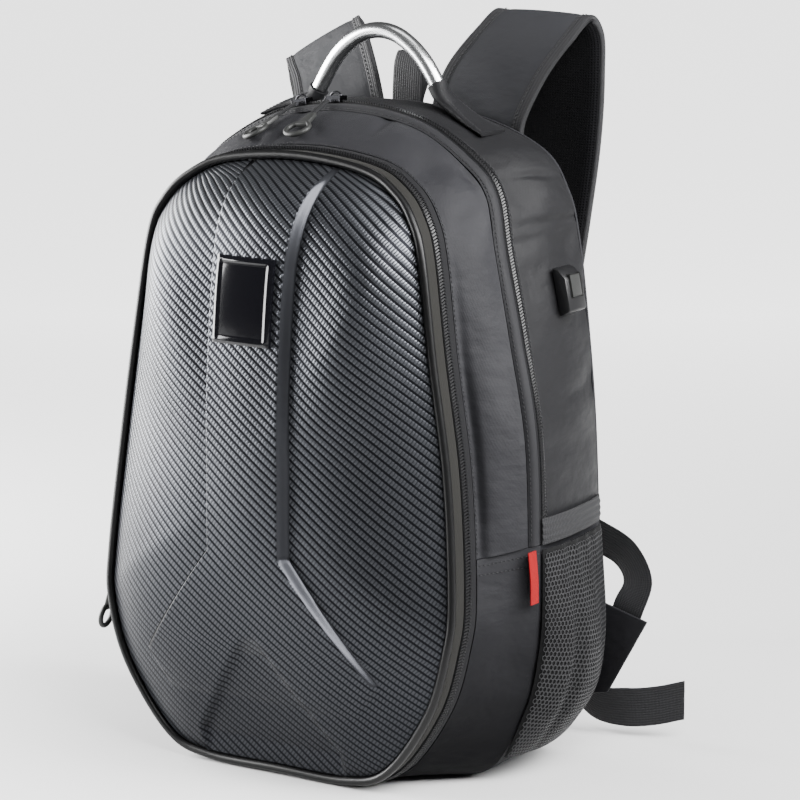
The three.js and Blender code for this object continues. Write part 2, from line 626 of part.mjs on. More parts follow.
// The charging port's hood: a small block with a sloped top and bottom, on the right side
function makeHood() {
  const outline = new THREE.Shape();
  outline.moveTo(-hood.height / 2, 0).lineTo(hood.height / 2, 0).lineTo(hood.height / 2 - 2, hood.out * 0.55);
  outline.lineTo(hood.height / 2 - 9, hood.out).lineTo(-hood.height / 2 + 3, hood.out).closePath();
  const shape = { depth: hood.width, bevelEnabled: true, bevelThickness: 1.5, bevelSize: 1.5, bevelSegments: 2 };
  const geometry = new THREE.ExtrudeGeometry(outline, shape);
  geometry.translate(0, 0, -hood.width / 2);
  const mesh = addMesh('usb_hood', geometry, plasticPaint);
  const seat = rearFace(hood.place, hood.share, 1.6);
  const out = rearFace(hood.place, hood.share, 2.6).sub(seat).normalize();
  const across = new THREE.Vector3(0, 1, 0).projectOnPlane(out).normalize();
  const up = across.clone().cross(out).negate();
  mesh.quaternion.setFromRotationMatrix(new THREE.Matrix4().makeBasis(up, out, across));
  mesh.position.copy(seat);
}

function makeTab() {
  const rows = [[4.86, 7.7], [5.09, 7.2], [5.31, 5.3]].map(([place, lift]) => {
    const seam = wrapPoint(place, 0.24);
    return [seam.x + lift, seam.y - 1, seam.z, 0, 5, 0];
  });
  addMesh('red_tab', ribbon(rows, 1.4, 4), redPaint);
}

// A zip slider with its moulded pull: a stem that ends in a ring.
// from and to are where the pull starts and points, measured from the slider along, across and out of its zip.
function makeSlider(name, place, onMain, pullLength, from, to) {
  const line = onMain ? mainLine : moved(piping, 2.5, 19);
  const next = onMain ? mainCoilBack : zipEdge;
  const centre = line(place).lerp(next(place), onMain ? 0.5 : 0.1);
  const along = line(place + 0.1).sub(line(place - 0.1)).normalize();
  const across = next(place).sub(line(place)).normalize();
  const out = across.clone().cross(along).normalize();
  const body = new THREE.BoxGeometry(...sliderSize);
  const mesh = addMesh(`${name}_slider`, body, metalPaint.clone());
  mesh.material.color.set(0x1c1c1e);
  const axes = [along, out.clone().cross(along), out];
  mesh.quaternion.setFromRotationMatrix(new THREE.Matrix4().makeBasis(...axes));
  mesh.position.copy(centre).addScaledVector(out, onMain ? 3.5 : 4.7);
  const start = mesh.position;
  const fromSlider = (steps) => axes.reduce((p, axis, k) => p.addScaledVector(axis, steps[k]), start.clone());
  const hangFrom = fromSlider(from);
  const hangTo = fromSlider(to);
  const outline = new THREE.Shape();
  const ringRadius = 10.5;
  const holeRadius = 5.8;
  const stemHalf = 3.6;
  const turn = Math.PI / 2 - Math.asin(stemHalf / ringRadius);
  outline.moveTo(-stemHalf, 0).lineTo(-stemHalf, -(pullLength - 2 * ringRadius));
  outline.absarc(0, -(pullLength - ringRadius), ringRadius, Math.PI - turn, turn + 2 * Math.PI, false);
  outline.lineTo(stemHalf, 0).closePath();
  const hole = new THREE.Path().absarc(0, -(pullLength - ringRadius), holeRadius, 0, 2 * Math.PI, true);
  outline.holes.push(hole);
  const shape = { depth: 3.6, bevelEnabled: false, curveSegments: 8 };
  const pull = addMesh(`${name}_pull`, new THREE.ExtrudeGeometry(outline, shape), rubberPaint);
  const up = hangFrom.clone().sub(hangTo).normalize();
  const side = up.clone().cross(out).normalize();
  const face = side.clone().cross(up).normalize();
  pull.quaternion.setFromRotationMatrix(new THREE.Matrix4().makeBasis(side, up, face));
  pull.position.copy(hangFrom).addScaledVector(face, -shape.depth / 2);
}

makeShell();
makeBadge();
makeFrontZip();
makeUpperBody();
makeWrap();
makeBack();
for (const side of [1, -1]) {
  makePocket(side);
  makeBackPad(side);
  makeAdjuster(side);
  makeWebbing(side);
  makeWebTab(side);
}
makeStraps();
makeHangLoop();
makeHandle();
makeHood();
makeTab();
makeSlider('main_zip_a', 12.3, true, 48, [2.5, 8.1, -1.8], [4.9, 44.4, -21.4]);
makeSlider('main_zip_b', 12.78, true, 48, [1.1, 8, -1.2], [17.9, 45.4, -17.9]);
makeSlider('front_zip_a', 18.95, false, 30, [-7.7, -2, 2.6], [-44.1, -18, 8]);
makeSlider('front_zip_b', 19.28, false, 46, [7.4, -0.9, 2.4], [74.1, -3, 11.5]);

export default bag;
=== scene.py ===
"""A hard shell backpack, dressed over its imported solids.

Lengths are worked out in millimetres, in the same frame as the solids, and meshes are made in metres.
+Z is up, the shell faces -Y and +X is to the viewer's right.
"""
import math

import bmesh
import bpy
import numpy as np
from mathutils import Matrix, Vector


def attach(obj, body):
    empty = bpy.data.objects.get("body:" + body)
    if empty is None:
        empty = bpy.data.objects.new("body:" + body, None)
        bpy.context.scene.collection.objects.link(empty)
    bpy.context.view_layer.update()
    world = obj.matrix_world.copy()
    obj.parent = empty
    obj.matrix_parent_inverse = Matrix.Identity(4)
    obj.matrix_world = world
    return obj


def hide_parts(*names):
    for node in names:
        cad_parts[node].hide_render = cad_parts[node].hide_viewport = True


MM = 0.001

# Camera: the photograph's viewing angle, in degrees and metres
AZIMUTH = 34.0
ELEVATION = 11.5
DISTANCE = 3.0
AIM = (0.035, 0.020, 0.264)
LENS = 183.6

# Driving sizes, repeated from the solids
SHELL = {"half": 151, "top": 452, "front": -91, "lean": 31}
MAIN_ZIP = {"half": 181, "top": 481, "front": -18, "lean": 30}
BACK_EDGE = {"half": 173, "top": 478, "front": 76, "lean": 0}
CENTRE_HEIGHT = 225
PIPING_RADIUS = 3.2
SEAM_PLACE = 5.33
ROUND = 24
HANDLE_Y = 47
DOME_BASE = -80
DOME_RISE = 42
SPINE_RAISE = 8.5
SHELL_WALL = 2.6
SLOPE_FLOOR = 86
PLAQUE_CENTRE = 356
PORT_PLACE = 7.27
POCKET_BOTTOM = 2.35
POCKET_TOP = 5.3
STITCH_LIFT = 0.12
SIDE_NAMES = {1: "right", -1: "left"}

# Columns of the shell: 0 to 1 is the raised middle, 1 to 2 the slope beside it and 2 to 3 the outside
SHELL_MARKS = np.concatenate([
    np.linspace(0, 1, 34), 1 + np.linspace(0, 1, 15)[1:], 2 + np.linspace(0, 1, 52)[1:]])

FRONT_ROWS = [
    (0, 0.009, 0.06), (0.41, 0.01, 0.06), (0.65, 0.038, 0.06), (0.887, 0.144, 0), (0.987, 0.248, 0),
    (1, 0.332, 0.13), (0.947, 0.52, 0.32), (0.861, 0.704, 0.35), (0.788, 0.858, 0.45), (0.722, 0.914, 0.58),
    (0.603, 0.956, 0.77), (0.397, 0.987, 0.94), (0, 1, 1),
]
MAIN_ROWS = [
    (0, 0, 0), (0.365, 0, 0), (0.751, 0.014, 0), (0.917, 0.114, 0), (0.983, 0.208, 0),
    (1, 0.312, 0), (0.983, 0.53, 0), (0.884, 0.682, 0.22), (0.785, 0.802, 0.47), (0.707, 0.888, 0.75),
    (0.583, 0.934, 0.85), (0.331, 0.983, 0.97), (0, 1, 1),
]
BACK_ROWS = [
    (0, 0, 0), (0.382, 0, 0), (0.751, 0.015, 0), (0.925, 0.105, 0), (0.983, 0.192, 0),
    (1, 0.314, 0), (0.977, 0.533, 0), (0.925, 0.718, 0), (0.884, 0.82, 0), (0.838, 0.879, 0),
    (0.717, 0.94, 0), (0.405, 0.983, 0), (0, 0.994, 0),
]

# Folds in the cloth: place, share from front to back, spreads along and across, depth
GUSSET_FOLDS = [
    (10.4, 0.45, 0.55, 0.3, 4.5), (8.6, 0.6, 0.4, 0.35, 2.5), (15.2, 0.5, 0.6, 0.3, 3),
    (11.42, 0.75, 0.1, 0.3, 3), (12.62, 0.55, 0.09, 0.5, 2.6), (12.9, 0.3, 0.08, 0.4, 1.6),
    (6.2, 0.1, 1.2, 0.09, 3.5), (17.8, 0.1, 1.2, 0.09, 3.5), (9.6, 0.9, 0.5, 0.12, 2),
]
REAR_FOLDS = [
    (8.9, 0.25, 0.35, 0.2, 3), (7.9, 0.75, 0.3, 0.2, 2.5), (6.6, 0.3, 0.25, 0.3, 2),
    (16.1, 0.5, 0.5, 0.25, 3), (10.75, 0.5, 0.5, 0.35, 5), (13.25, 0.5, 0.5, 0.35, 5),
    (8.35, 0.62, 0.1, 0.5, 2.6), (8.1, 0.2, 0.12, 0.3, 1.8), (6.95, 0.85, 0.16, 0.2, 2.2),
    (6.3, 0.7, 0.1, 0.5, 1.8), (5.9, 0.35, 0.12, 0.4, 1.6), (9.4, 0.55, 0.1, 0.4, 2),
]
WRAP_FOLDS = [(3.9, 0.2, 0.5, 0.08, 2), (20.2, 0.2, 0.5, 0.08, 2)]
POCKET_FOLDS = [(3.8, 0.3, 1.6, 0.06, 4), (4.6, 0.72, 0.7, 0.1, 3)]


def ramp(value, low, high):
    return np.clip((value - low) / (high - low), 0, 1)


def smooth_step(value, low, high):
    share = ramp(value, low, high)
    return share * share * (3 - 2 * share)


def unit(vectors):
    length = np.linalg.norm(vectors, axis=-1, keepdims=True)
    return vectors / np.maximum(length, 1e-9)


def squared(value, power):
    """A sine or cosine bent toward a square when the power is under 1."""
    return np.sign(value) * np.abs(value) ** power


def travel_along(path):
    """The length gone at each point of a path."""
    steps = np.linalg.norm(np.diff(path, axis=0), axis=-1)
    return np.concatenate([[0], np.cumsum(steps)])


def travel_across(grid):
    """The length from the middle column to each point of a grid, row by row."""
    steps = np.linalg.norm(np.diff(grid, axis=1), axis=-1)
    side = np.concatenate([np.zeros((len(grid), 1)), np.cumsum(steps, axis=1)], axis=1)
    return side - side[:, [grid.shape[1] // 2]]


def steps_of(points, closed):
    """The step from the point before to the point after, along a path or a grid's rows."""
    if closed:
        return np.roll(points, -1, 0) - np.roll(points, 1, 0)
    return np.gradient(points, axis=0)


def cubic_between(p1, p2, t1, t2, part):
    """A point on the curve that leaves p1 along t1 and arrives at p2 along t2."""
    cubic = 2 * p1 - 2 * p2 + t1 + t2
    square = -3 * p1 + 3 * p2 - 2 * t1 - t2
    return ((cubic * part + square) * part + t1) * part + p1


# Edge lines, as functions of places round the bag: 0 is the bottom centre and 12 the top centre


def edge_line(rows, size):
    right = np.array([
        (side * size["half"], size["front"] + lean * size["lean"], up * size["top"])
        for side, up, lean in rows])
    left = right[1:-1][::-1] * (-1, 1, 1)
    points = np.vstack([right, left])

    def line(places):
        places = np.asarray(places, float)
        first = np.floor(places).astype(int)
        part = (places - first)[..., None]
        p0, p1, p2, p3 = (points[(first + k) % ROUND] for k in (-1, 0, 1, 2))
        out = cubic_between(p1, p2, (p2 - p0) / 2, (p3 - p1) / 2, part)
        out[..., 2] = np.maximum(out[..., 2], 0)
        return out

    return line


def outward_of(line, places):
    along = line(np.asarray(places) + 0.05) - line(np.asarray(places) - 0.05)
    sideways = np.stack([along[..., 2], np.zeros_like(along[..., 0]), -along[..., 0]], -1)
    return unit(sideways)


def moved(line, out, back, lowest=0.0):
    def shifted(places):
        point = line(places) + out * outward_of(line, places)
        point[..., 1] += back
        point[..., 2] = np.maximum(point[..., 2], lowest)
        return point
    return shifted


def toward(line, other, distance):
    """A line that runs a fixed distance from the first line toward the other."""
    def shifted(places):
        start = line(places)
        return start + distance * unit(other(places) - start)
    return shifted


piping_line = edge_line(FRONT_ROWS, SHELL)
main_line = edge_line(MAIN_ROWS, MAIN_ZIP)
back_line = edge_line(BACK_ROWS, BACK_EDGE)
zip_edge = moved(piping_line, 4, 26)
strip_front = moved(piping_line, 0, 4)
strip_back = moved(piping_line, 1.5, 14, 0.3)
flap_front = toward(main_line, zip_edge, 9)
coil_back = toward(main_line, back_line, 8)
shell_edge = moved(piping_line, -PIPING_RADIUS - 0.6, 0, 0.6)


def fold_depth(folds, place, share):
    depth = 0.0
    for at, centre, spread, across, deep in folds:
        depth = depth + deep * np.exp(-((place - at) / spread) ** 2 - ((share - centre) / across) ** 2)
    return depth


def crinkle(place, share, seed, amount, turns=(3.0, 9.0)):
    """Small soft waves in cloth: a fixed sum of sines over place and share."""
    dice = np.random.default_rng(seed)
    total = 0.0
    for k in range(7):
        lean = dice.uniform(-1, 1) * turns[1]
        pace = dice.uniform(0.5, 1.0) * turns[0] * (1 + k * 0.6)
        phase = dice.uniform(0, 2 * math.pi)
        total = total + np.sin(pace * place + lean * share + phase) / (1 + 0.5 * k)
    return amount * total / 2.5


def panel(line_a, line_b, folds=(), puff=0.0, rough=0.0, seed=1):
    """The surface between two edge lines, with folds pressed in and a puff between the lines."""
    def flat(place, share):
        return line_a(place) * (1 - share)[..., None] + line_b(place) * share[..., None]

    def surface(place, share, lift=0.0):
        place, share = np.broadcast_arrays(np.asarray(place, float), np.asarray(share, float))
        along = flat(place + 0.02, share) - flat(place - 0.02, share)
        across = line_b(place) - line_a(place)
        out = unit(np.cross(across, along))
        edge = np.clip(np.minimum(share, 1 - share) / 0.12, 0, 1)
        swell = puff * np.sin(np.pi * share) - fold_depth(folds, place, share)
        swell = swell + crinkle(place, share, seed, rough) * edge + lift
        point = flat(place, share) + swell[..., None] * out
        point[..., 2] = np.maximum(point[..., 2], 0.02)
        return point

    return surface


gusset_face = panel(zip_edge, flap_front, GUSSET_FOLDS, 3.0, 0.7, 3)
flap_face = panel(flap_front, main_line, (), 1.6)
coil_face = panel(main_line, coil_back, (), 1.2)
rear_face = panel(coil_back, back_line, REAR_FOLDS, 4.5, 0.9, 8)


def wrap_flat(place, share):
    """The lower wrap's face: from the front zip's edge to the widest line, then to the back edge."""
    front, middle, back = zip_edge(place), main_line(place), back_line(place)
    first = np.clip(share / 0.3, 0, 1)[..., None]
    second = np.clip((share - 0.3) / 0.7, 0, 1)[..., None]
    return front + (middle - front) * first + (back - middle) * second


def wrap_out(place, share):
    along = wrap_flat(place + 0.05, share) - wrap_flat(place - 0.05, share)
    ahead, behind = np.clip(share + 0.04, 0, 1), np.clip(share - 0.04, 0, 1)
    across = wrap_flat(place, ahead) - wrap_flat(place, behind)
    return unit(np.cross(across, along))


def wrap_face(place, share, lift=0.0):
    place, share = np.broadcast_arrays(np.asarray(place, float), np.asarray(share, float))
    point = wrap_flat(place, share)
    free = smooth_step(point[..., 2], 12, 40)
    edge = np.clip(np.minimum(share, 1 - share) / 0.1, 0, 1)
    swell = (crinkle(place, share, 5, 0.8) * edge - fold_depth(WRAP_FOLDS, place % ROUND, share)) * free
    point = point + (swell + lift)[..., None] * wrap_out(place, share)
    point[..., 2] = np.maximum(point[..., 2], 0.02)
    return point


# The shell's surface

def shell_outline():
    """The shell's edge by angle round its centre: the angle, the reach and the depth there."""
    edge = shell_edge(np.linspace(0, ROUND, 961))
    up = edge[:, 2] - CENTRE_HEIGHT
    angle = np.arctan2(edge[:, 0], -up)
    order = np.argsort(angle)
    return angle[order], np.hypot(edge[:, 0], up)[order], edge[order, 1]


EDGE_ANGLE, EDGE_REACH, EDGE_DEPTH = shell_outline()


def dome_depth(x, z):
    dz = z - CENTRE_HEIGHT
    distance = np.maximum(np.hypot(x, dz), 1e-6)
    angle = np.arctan2(x, -dz)
    reach = np.interp(angle, EDGE_ANGLE, EDGE_REACH)
    edge = np.interp(angle, EDGE_ANGLE, EDGE_DEPTH)
    share = np.clip(distance / reach, 0, 1)
    fullness = 3.2 + 8 * np.maximum(0, dz / distance) ** 4
    return DOME_BASE + (edge - DOME_BASE) * share ** 2 - DOME_RISE * (1 - share ** fullness)


def spine_half(z):
    upright = 35 + 3 * ramp(z, 380, 440)
    splayed = 35 + 69 * (1 - ramp(z, 84, 172))
    foot = 104 - (84 - z) * 0.75
    return np.where(z >= 172, upright, np.where(z < 84, foot, splayed))


def spine_raise(z):
    return SPINE_RAISE * ramp(z, 58, 150) ** 0.7 * (1 - smooth_step(z, 434, 450))


def spine_crown(x, z):
    """The spine's face is slightly rounded from side to side."""
    share = np.clip(np.abs(x) / spine_half(z), 0, 1)
    return 2.2 * np.cos(np.pi / 2 * share) * ramp(z, 120, 200) * (1 - smooth_step(z, 420, 448))


def notch_half(z):
    return 3 + 55 * (1 - ramp(z, 26, 107))


def notch_depth(z):
    return 6 * (1 - ramp(z, 95, 110)) * ramp(z, 8, 24)


def shell_depth(x, z):
    side = np.abs(x)
    foot = spine_half(z)
    on_spine = 1 - smooth_step(side, foot - 4.8, foot + 0.2)
    inner = notch_half(z)
    in_notch = 1 - smooth_step(side, inner, inner + 6)
    return dome_depth(x, z) - (spine_raise(z) + spine_crown(x, z)) * on_spine + notch_depth(z) * in_notch


# Meshes


def new_object(name, data):
    obj = bpy.data.objects.new(name, data)
    bpy.context.scene.collection.objects.link(obj)
    return obj


def mesh_from(name, points, faces, materials, uv, face_material=None):
    """A mesh in metres from points in millimetres, with one UV pair for each point."""
    mesh = bpy.data.meshes.new(name)
    corners = [tuple(int(v) for v in face) for face in faces]
    mesh.from_pydata((np.asarray(points, float) * MM).tolist(), [], corners)
    for material in materials:
        mesh.materials.append(material)
    if face_material is not None:
        mesh.polygons.foreach_set("material_index", np.asarray(face_material, np.int32))
    mesh.polygons.foreach_set("use_smooth", np.full(len(mesh.polygons), True))
    points_of = np.empty(len(mesh.loops), np.int32)
    mesh.loops.foreach_get("vertex_index", points_of)
    layer = mesh.uv_layers.new(name="UVMap")
    layer.data.foreach_set("uv", (np.asarray(uv)[points_of] * MM).astype(np.float32).ravel())
    mesh.update()
    return new_object(name, mesh)


def grid_normals(grid, closed):
    return unit(np.cross(np.gradient(grid, axis=1), steps_of(grid, closed)))


def grid_uv(grid):
    """Lengths along the rows' middle and across each row, in millimetres."""
    side = travel_across(grid)
    down = travel_along(grid[:, grid.shape[1] // 2])
    return np.stack([np.broadcast_to(down[:, None], side.shape), side], -1)


def quads_of(rows, columns, closed):
    """Faces of a grid that face along across x along."""
    steps = rows if closed else rows - 1
    i, j = np.meshgrid(np.arange(steps), np.arange(columns - 1), indexing="ij")
    here, there = i * columns + j, (i + 1) % rows * columns + j
    return np.stack([here, here + 1, there + 1, there], -1).reshape(-1, 4)


def rim_faces(rows, columns, closed):
    """Faces that join the edges of an outer grid to those of the inner grid after it."""
    count = rows * columns
    i = np.arange(rows if closed else rows - 1)
    first, first_next = i * columns, (i + 1) % rows * columns
    last, last_next = first + columns - 1, first_next + columns - 1
    rims = [
        np.stack([first, first_next, first_next + count, first + count], -1),
        np.stack([last, last + count, last_next + count, last_next], -1),
    ]
    if not closed:
        j = np.arange(columns - 1)
        end = (rows - 1) * columns + j
        rims.append(np.stack([j, j + count, j + 1 + count, j + 1], -1))
        rims.append(np.stack([end, end + 1, end + 1 + count, end + count], -1))
    return rims


def sheet(name, grid, materials, thickness=2.0, closed=False, uv=None, inner=None):
    """A closed sheet of cloth: the grid is its outer face. A second material covers the inner face."""
    rows, columns = grid.shape[:2]
    if inner is None:
        inner = grid - thickness * grid_normals(grid, closed)
    inner[..., 2] = np.maximum(inner[..., 2], 0.01)
    outer_faces = quads_of(rows, columns, closed)
    inner_faces = outer_faces[:, ::-1] + rows * columns
    faces = np.vstack([outer_faces, inner_faces] + rim_faces(rows, columns, closed))
    uv = (grid_uv(grid) if uv is None else uv).reshape(-1, 2)
    points = np.vstack([grid.reshape(-1, 3), inner.reshape(-1, 3)])
    if signed_volume(points, faces) < 0:
        faces = faces[:, ::-1]
    which = np.zeros(len(faces), np.int32)
    if len(materials) > 1:
        which[len(outer_faces):2 * len(outer_faces)] = 1
    obj = mesh_from(name, points, faces, materials, np.vstack([uv, uv]), which)
    sharpen(obj)
    return obj


def signed_volume(points, faces):
    a, b, c, d = (points[faces[:, k]] for k in range(4))
    first = np.einsum("ij,ij->", a, np.cross(b, c))
    return first + np.einsum("ij,ij->", a, np.cross(c, d))


def sharpen(obj, degrees=38):
    """Marks the edges between steep faces as sharp."""
    shape = bmesh.new()
    shape.from_mesh(obj.data)
    limit = math.radians(degrees)
    for edge in shape.edges:
        edge.smooth = not (len(edge.link_faces) == 2 and edge.calc_face_angle(0) > limit)
    shape.to_mesh(obj.data)
    shape.free()


def tube(name, path, radius, materials, sides=16, closed=False, up=(0, 1, 0)):
    """A round tube along a path."""
    path = np.asarray(path, float)
    along = unit(steps_of(path, closed))
    up = np.broadcast_to(np.asarray(up, float), path.shape)
    wide = unit(np.cross(along, up))
    high = unit(np.cross(wide, along))
    turn = np.linspace(0, 2 * math.pi, sides, endpoint=False)[None, :, None]
    ring = wide[:, None] * np.cos(turn) + high[:, None] * np.sin(turn)
    return ring_body(name, path[:, None] + radius * ring, materials, closed)


def ring_body(name, rings, materials, closed=False):
    """A closed body through rings of points, with a fan at each end."""
    count, sides = rings.shape[:2]
    i, j = np.meshgrid(np.arange(count if closed else count - 1), np.arange(sides), indexing="ij")
    k, m = (i + 1) % count, (j + 1) % sides
    faces = np.stack([i * sides + j, i * sides + m, k * sides + m, k * sides + j], -1).reshape(-1, 4)
    faces = [tuple(f) for f in faces]
    points = rings.reshape(-1, 3)
    down = travel_along(rings.mean(1))
    girth = np.linalg.norm(rings[0, 0] - rings[0, 1]) * np.arange(sides)
    uv = np.stack(np.meshgrid(down, girth, indexing="ij"), -1).reshape(-1, 2)
    if not closed:
        points = np.vstack([points, rings[0].mean(0), rings[-1].mean(0)])
        uv = np.vstack([uv, uv[:1], uv[-1:]])
        start, end, last = count * sides, count * sides + 1, (count - 1) * sides
        faces += [(start, (j + 1) % sides, j) for j in range(sides)]
        faces += [(end, last + j, last + (j + 1) % sides) for j in range(sides)]
    obj = mesh_from(name, points, faces, materials, uv)
    turn_out(obj)
    sharpen(obj)
    return obj


def turn_out(obj):
    shape = bmesh.new()
    shape.from_mesh(obj.data)
    bmesh.ops.recalc_face_normals(shape, faces=shape.faces)
    shape.to_mesh(obj.data)
    shape.free()


def through(points, count):
    """A centripetal curve through points, read at even steps of the point number."""
    points = np.asarray(points, float)
    first = 2 * points[0] - points[1]
    last = 2 * points[-1] - points[-2]
    padded = np.vstack([first, points, last])
    spans = len(points) - 1
    at = np.linspace(0, spans, count)
    i = np.minimum(at.astype(int), spans - 1)
    part = (at - i)[:, None]
    p0, p1, p2, p3 = (padded[i + k] for k in range(4))
    d0, d1, d2 = (np.maximum(np.linalg.norm(b - a, axis=-1, keepdims=True), 1e-4) ** 0.5
                  for a, b in ((p0, p1), (p1, p2), (p2, p3)))
    t1 = ((p1 - p0) / d0 - (p2 - p0) / (d0 + d1) + (p2 - p1) / d1) * d1
    t2 = ((p2 - p1) / d1 - (p3 - p1) / (d1 + d2) + (p3 - p2) / d2) * d1
    return cubic_between(p1, p2, t1, t2, part)


def ribbon_rows(rows, steps):
    """The middle, the half-width vector and the outer normal along a band given by listed rows."""
    rows = np.asarray(rows, float)
    middle = through(rows[:, :3], steps)
    half = through(rows[:, 3:], steps)
    normal = unit(np.cross(half, np.gradient(middle, axis=0)))
    return middle, half, normal


def band(name, rows, thickness, materials, steps=90, columns=9):
    """A flat woven band with slightly rolled edges."""
    middle, half, normal = ribbon_rows(rows, steps)
    side = np.linspace(-1, 1, columns)[None, :, None]
    drop = 0.25 * thickness * side ** 6
    grid = middle[:, None] + half[:, None] * side - normal[:, None] * drop
    inner = grid - normal[:, None] * (thickness - 2 * drop)
    return sheet(name, grid, materials, inner=inner)


def box_piece(name, centre, size, axes, bevel, materials):
    """A small block with rounded edges, turned to three given axes."""
    shape = bmesh.new()
    bmesh.ops.create_cube(shape, size=1)
    turned = np.array(axes, float) * np.array(size, float)[:, None]
    for vert in shape.verts:
        vert.co = Vector((np.array(vert.co) @ turned + np.array(centre, float)) * MM)
    return rounded(name, shape, bevel, 3, materials)


def rounded(name, shape, bevel, segments, materials):
    """An object from a bmesh with all its edges rounded."""
    edges = shape.edges[:]
    bmesh.ops.bevel(shape, geom=edges, offset=bevel * MM, segments=segments, affect="EDGES", profile=0.5)
    bmesh.ops.recalc_face_normals(shape, faces=shape.faces)
    return from_bmesh(name, shape, materials)


def from_bmesh(name, shape, materials):
    mesh = bpy.data.meshes.new(name)
    shape.to_mesh(mesh)
    shape.free()
    for material in materials:
        mesh.materials.append(material)
    mesh.polygons.foreach_set("use_smooth", np.full(len(mesh.polygons), True))
    obj = new_object(name, mesh)
    sharpen(obj)
    return obj


def outline_piece(name, outline, depth, centre, axes, bevel, materials):
    """A flat plate cut to an outline, with rounded edges, turned to three given axes."""
    shape = bmesh.new()
    axes = np.array(axes, float)
    points = [np.array(centre) + p[0] * axes[0] + p[1] * axes[1] for p in outline]
    face = shape.faces.new([shape.verts.new(Vector(point * MM)) for point in points])
    pulled = bmesh.ops.extrude_face_region(shape, geom=[face])
    moved_verts = [v for v in pulled["geom"] if isinstance(v, bmesh.types.BMVert)]
    bmesh.ops.translate(shape, verts=moved_verts, vec=Vector(axes[2] * depth * MM))
    return rounded(name, shape, bevel, 2, materials)


def joined(name, objects):
    """One object from several, each with its own materials."""
    bpy.ops.object.select_all(action="DESELECT")
    for obj in objects:
        obj.select_set(True)
    bpy.context.view_layer.objects.active = objects[0]
    bpy.ops.object.join()
    objects[0].name = name
    return objects[0]


# What repeats: one Geometry Nodes tree that sets a small shape at each point of a mesh


def add_node(tree, kind, place, **settings):
    node = tree.nodes.new(kind)
    node.location = place
    for key, value in settings.items():
        setattr(node, key, value)
    return node


def add_attribute(tree, name, place):
    node = add_node(tree, "GeometryNodeInputNamedAttribute", place, data_type="FLOAT_VECTOR")
    node.inputs["Name"].default_value = name
    return node.outputs["Attribute"]


def make_row_tree():
    tree = bpy.data.node_groups.new("set_in_rows", "GeometryNodeTree")
    for name, kind in (("Points", "Geometry"), ("Shape", "Object"), ("Finish", "Material")):
        tree.interface.new_socket(name, in_out="INPUT", socket_type=f"NodeSocket{kind}")
    tree.interface.new_socket("Rows", in_out="OUTPUT", socket_type="NodeSocketGeometry")
    start = add_node(tree, "NodeGroupInput", (-800, 0))
    shape = add_node(tree, "GeometryNodeObjectInfo", (-560, -120))
    turn = add_node(tree, "FunctionNodeAxesToRotation", (-320, -360), primary_axis="Z", secondary_axis="X")
    place = add_node(tree, "GeometryNodeInstanceOnPoints", (-80, 0))
    real = add_node(tree, "GeometryNodeRealizeInstances", (160, 0))
    paint = add_node(tree, "GeometryNodeSetMaterial", (360, 0))
    end = add_node(tree, "NodeGroupOutput", (560, 0))
    link = tree.links.new
    link(start.outputs["Shape"], shape.inputs["Object"])
    link(add_attribute(tree, "out", (-560, -520)), turn.inputs[0])
    link(add_attribute(tree, "along", (-560, -360)), turn.inputs[1])
    link(start.outputs["Points"], place.inputs["Points"])
    link(shape.outputs["Geometry"], place.inputs["Instance"])
    link(turn.outputs["Rotation"], place.inputs["Rotation"])
    link(place.outputs["Instances"], real.inputs["Geometry"])
    link(real.outputs["Geometry"], paint.inputs["Geometry"])
    link(start.outputs["Finish"], paint.inputs["Material"])
    link(paint.outputs["Geometry"], end.inputs["Rows"])
    return tree


def set_in_rows(name, places, along, out, shape, material):
    """Sets the small shape at each place, its X along the row and its Z outward."""
    mesh = bpy.data.meshes.new(name)
    mesh.from_pydata((places * MM).tolist(), [], [])
    for key, vectors in (("along", along), ("out", out)):
        layer = mesh.attributes.new(key, "FLOAT_VECTOR", "POINT")
        layer.data.foreach_set("vector", np.asarray(vectors, np.float32).reshape(-1))
    obj = new_object(name, mesh)
    modifier = obj.modifiers.new("rows", "NODES")
    modifier.node_group = ROW_TREE
    values = {"Shape": shape, "Finish": material}
    for item in ROW_TREE.interface.items_tree:
        if item.name in values:
            modifier[item.identifier] = values[item.name]
    bpy.context.view_layer.update()
    graph = bpy.context.evaluated_depsgraph_get()
    made = bpy.data.meshes.new_from_object(obj.evaluated_get(graph), depsgraph=graph)
    obj.modifiers.clear()
    obj.data = made
    return obj


def set_along(name, line, out_at, table, pitch, ahead, lift, shape, material):
    """Sets a shape at even steps of a line. The line is a function of one number, read over the table."""
    travel = travel_along(line(table))
    at = np.interp(np.arange(0, travel[-1], pitch), travel, table)
    spot = line(at)
    along = unit(line(at + ahead) - spot)
    out = out_at(at, along)
    return set_in_rows(name, spot + lift * out, along, out, shape, material)


def stitch_path(name, path, normals, pitch, margin=0):
    """Stitches at even steps along a path of points, clear of its ends by a margin."""
    travel = travel_along(path)
    at = np.arange(margin, travel[-1] - margin, pitch)
    spots, outs = (np.stack([np.interp(at, travel, column) for column in values.T], -1)
                   for values in (path, normals))
    return set_in_rows(name, spots, unit(np.gradient(spots, axis=0)), outs, STITCH, THREAD)


def small_shape(name, points, faces, smooth=False):
    mesh = bpy.data.meshes.new(name)
    mesh.from_pydata([tuple(v * MM for v in p) for p in points], [], faces)
    mesh.polygons.foreach_set("use_smooth", np.full(len(mesh.polygons), smooth))
    mesh.update()
    obj = new_object(name, mesh)
    turn_out(obj)
    SMALL_SHAPES.append(obj)
    return obj


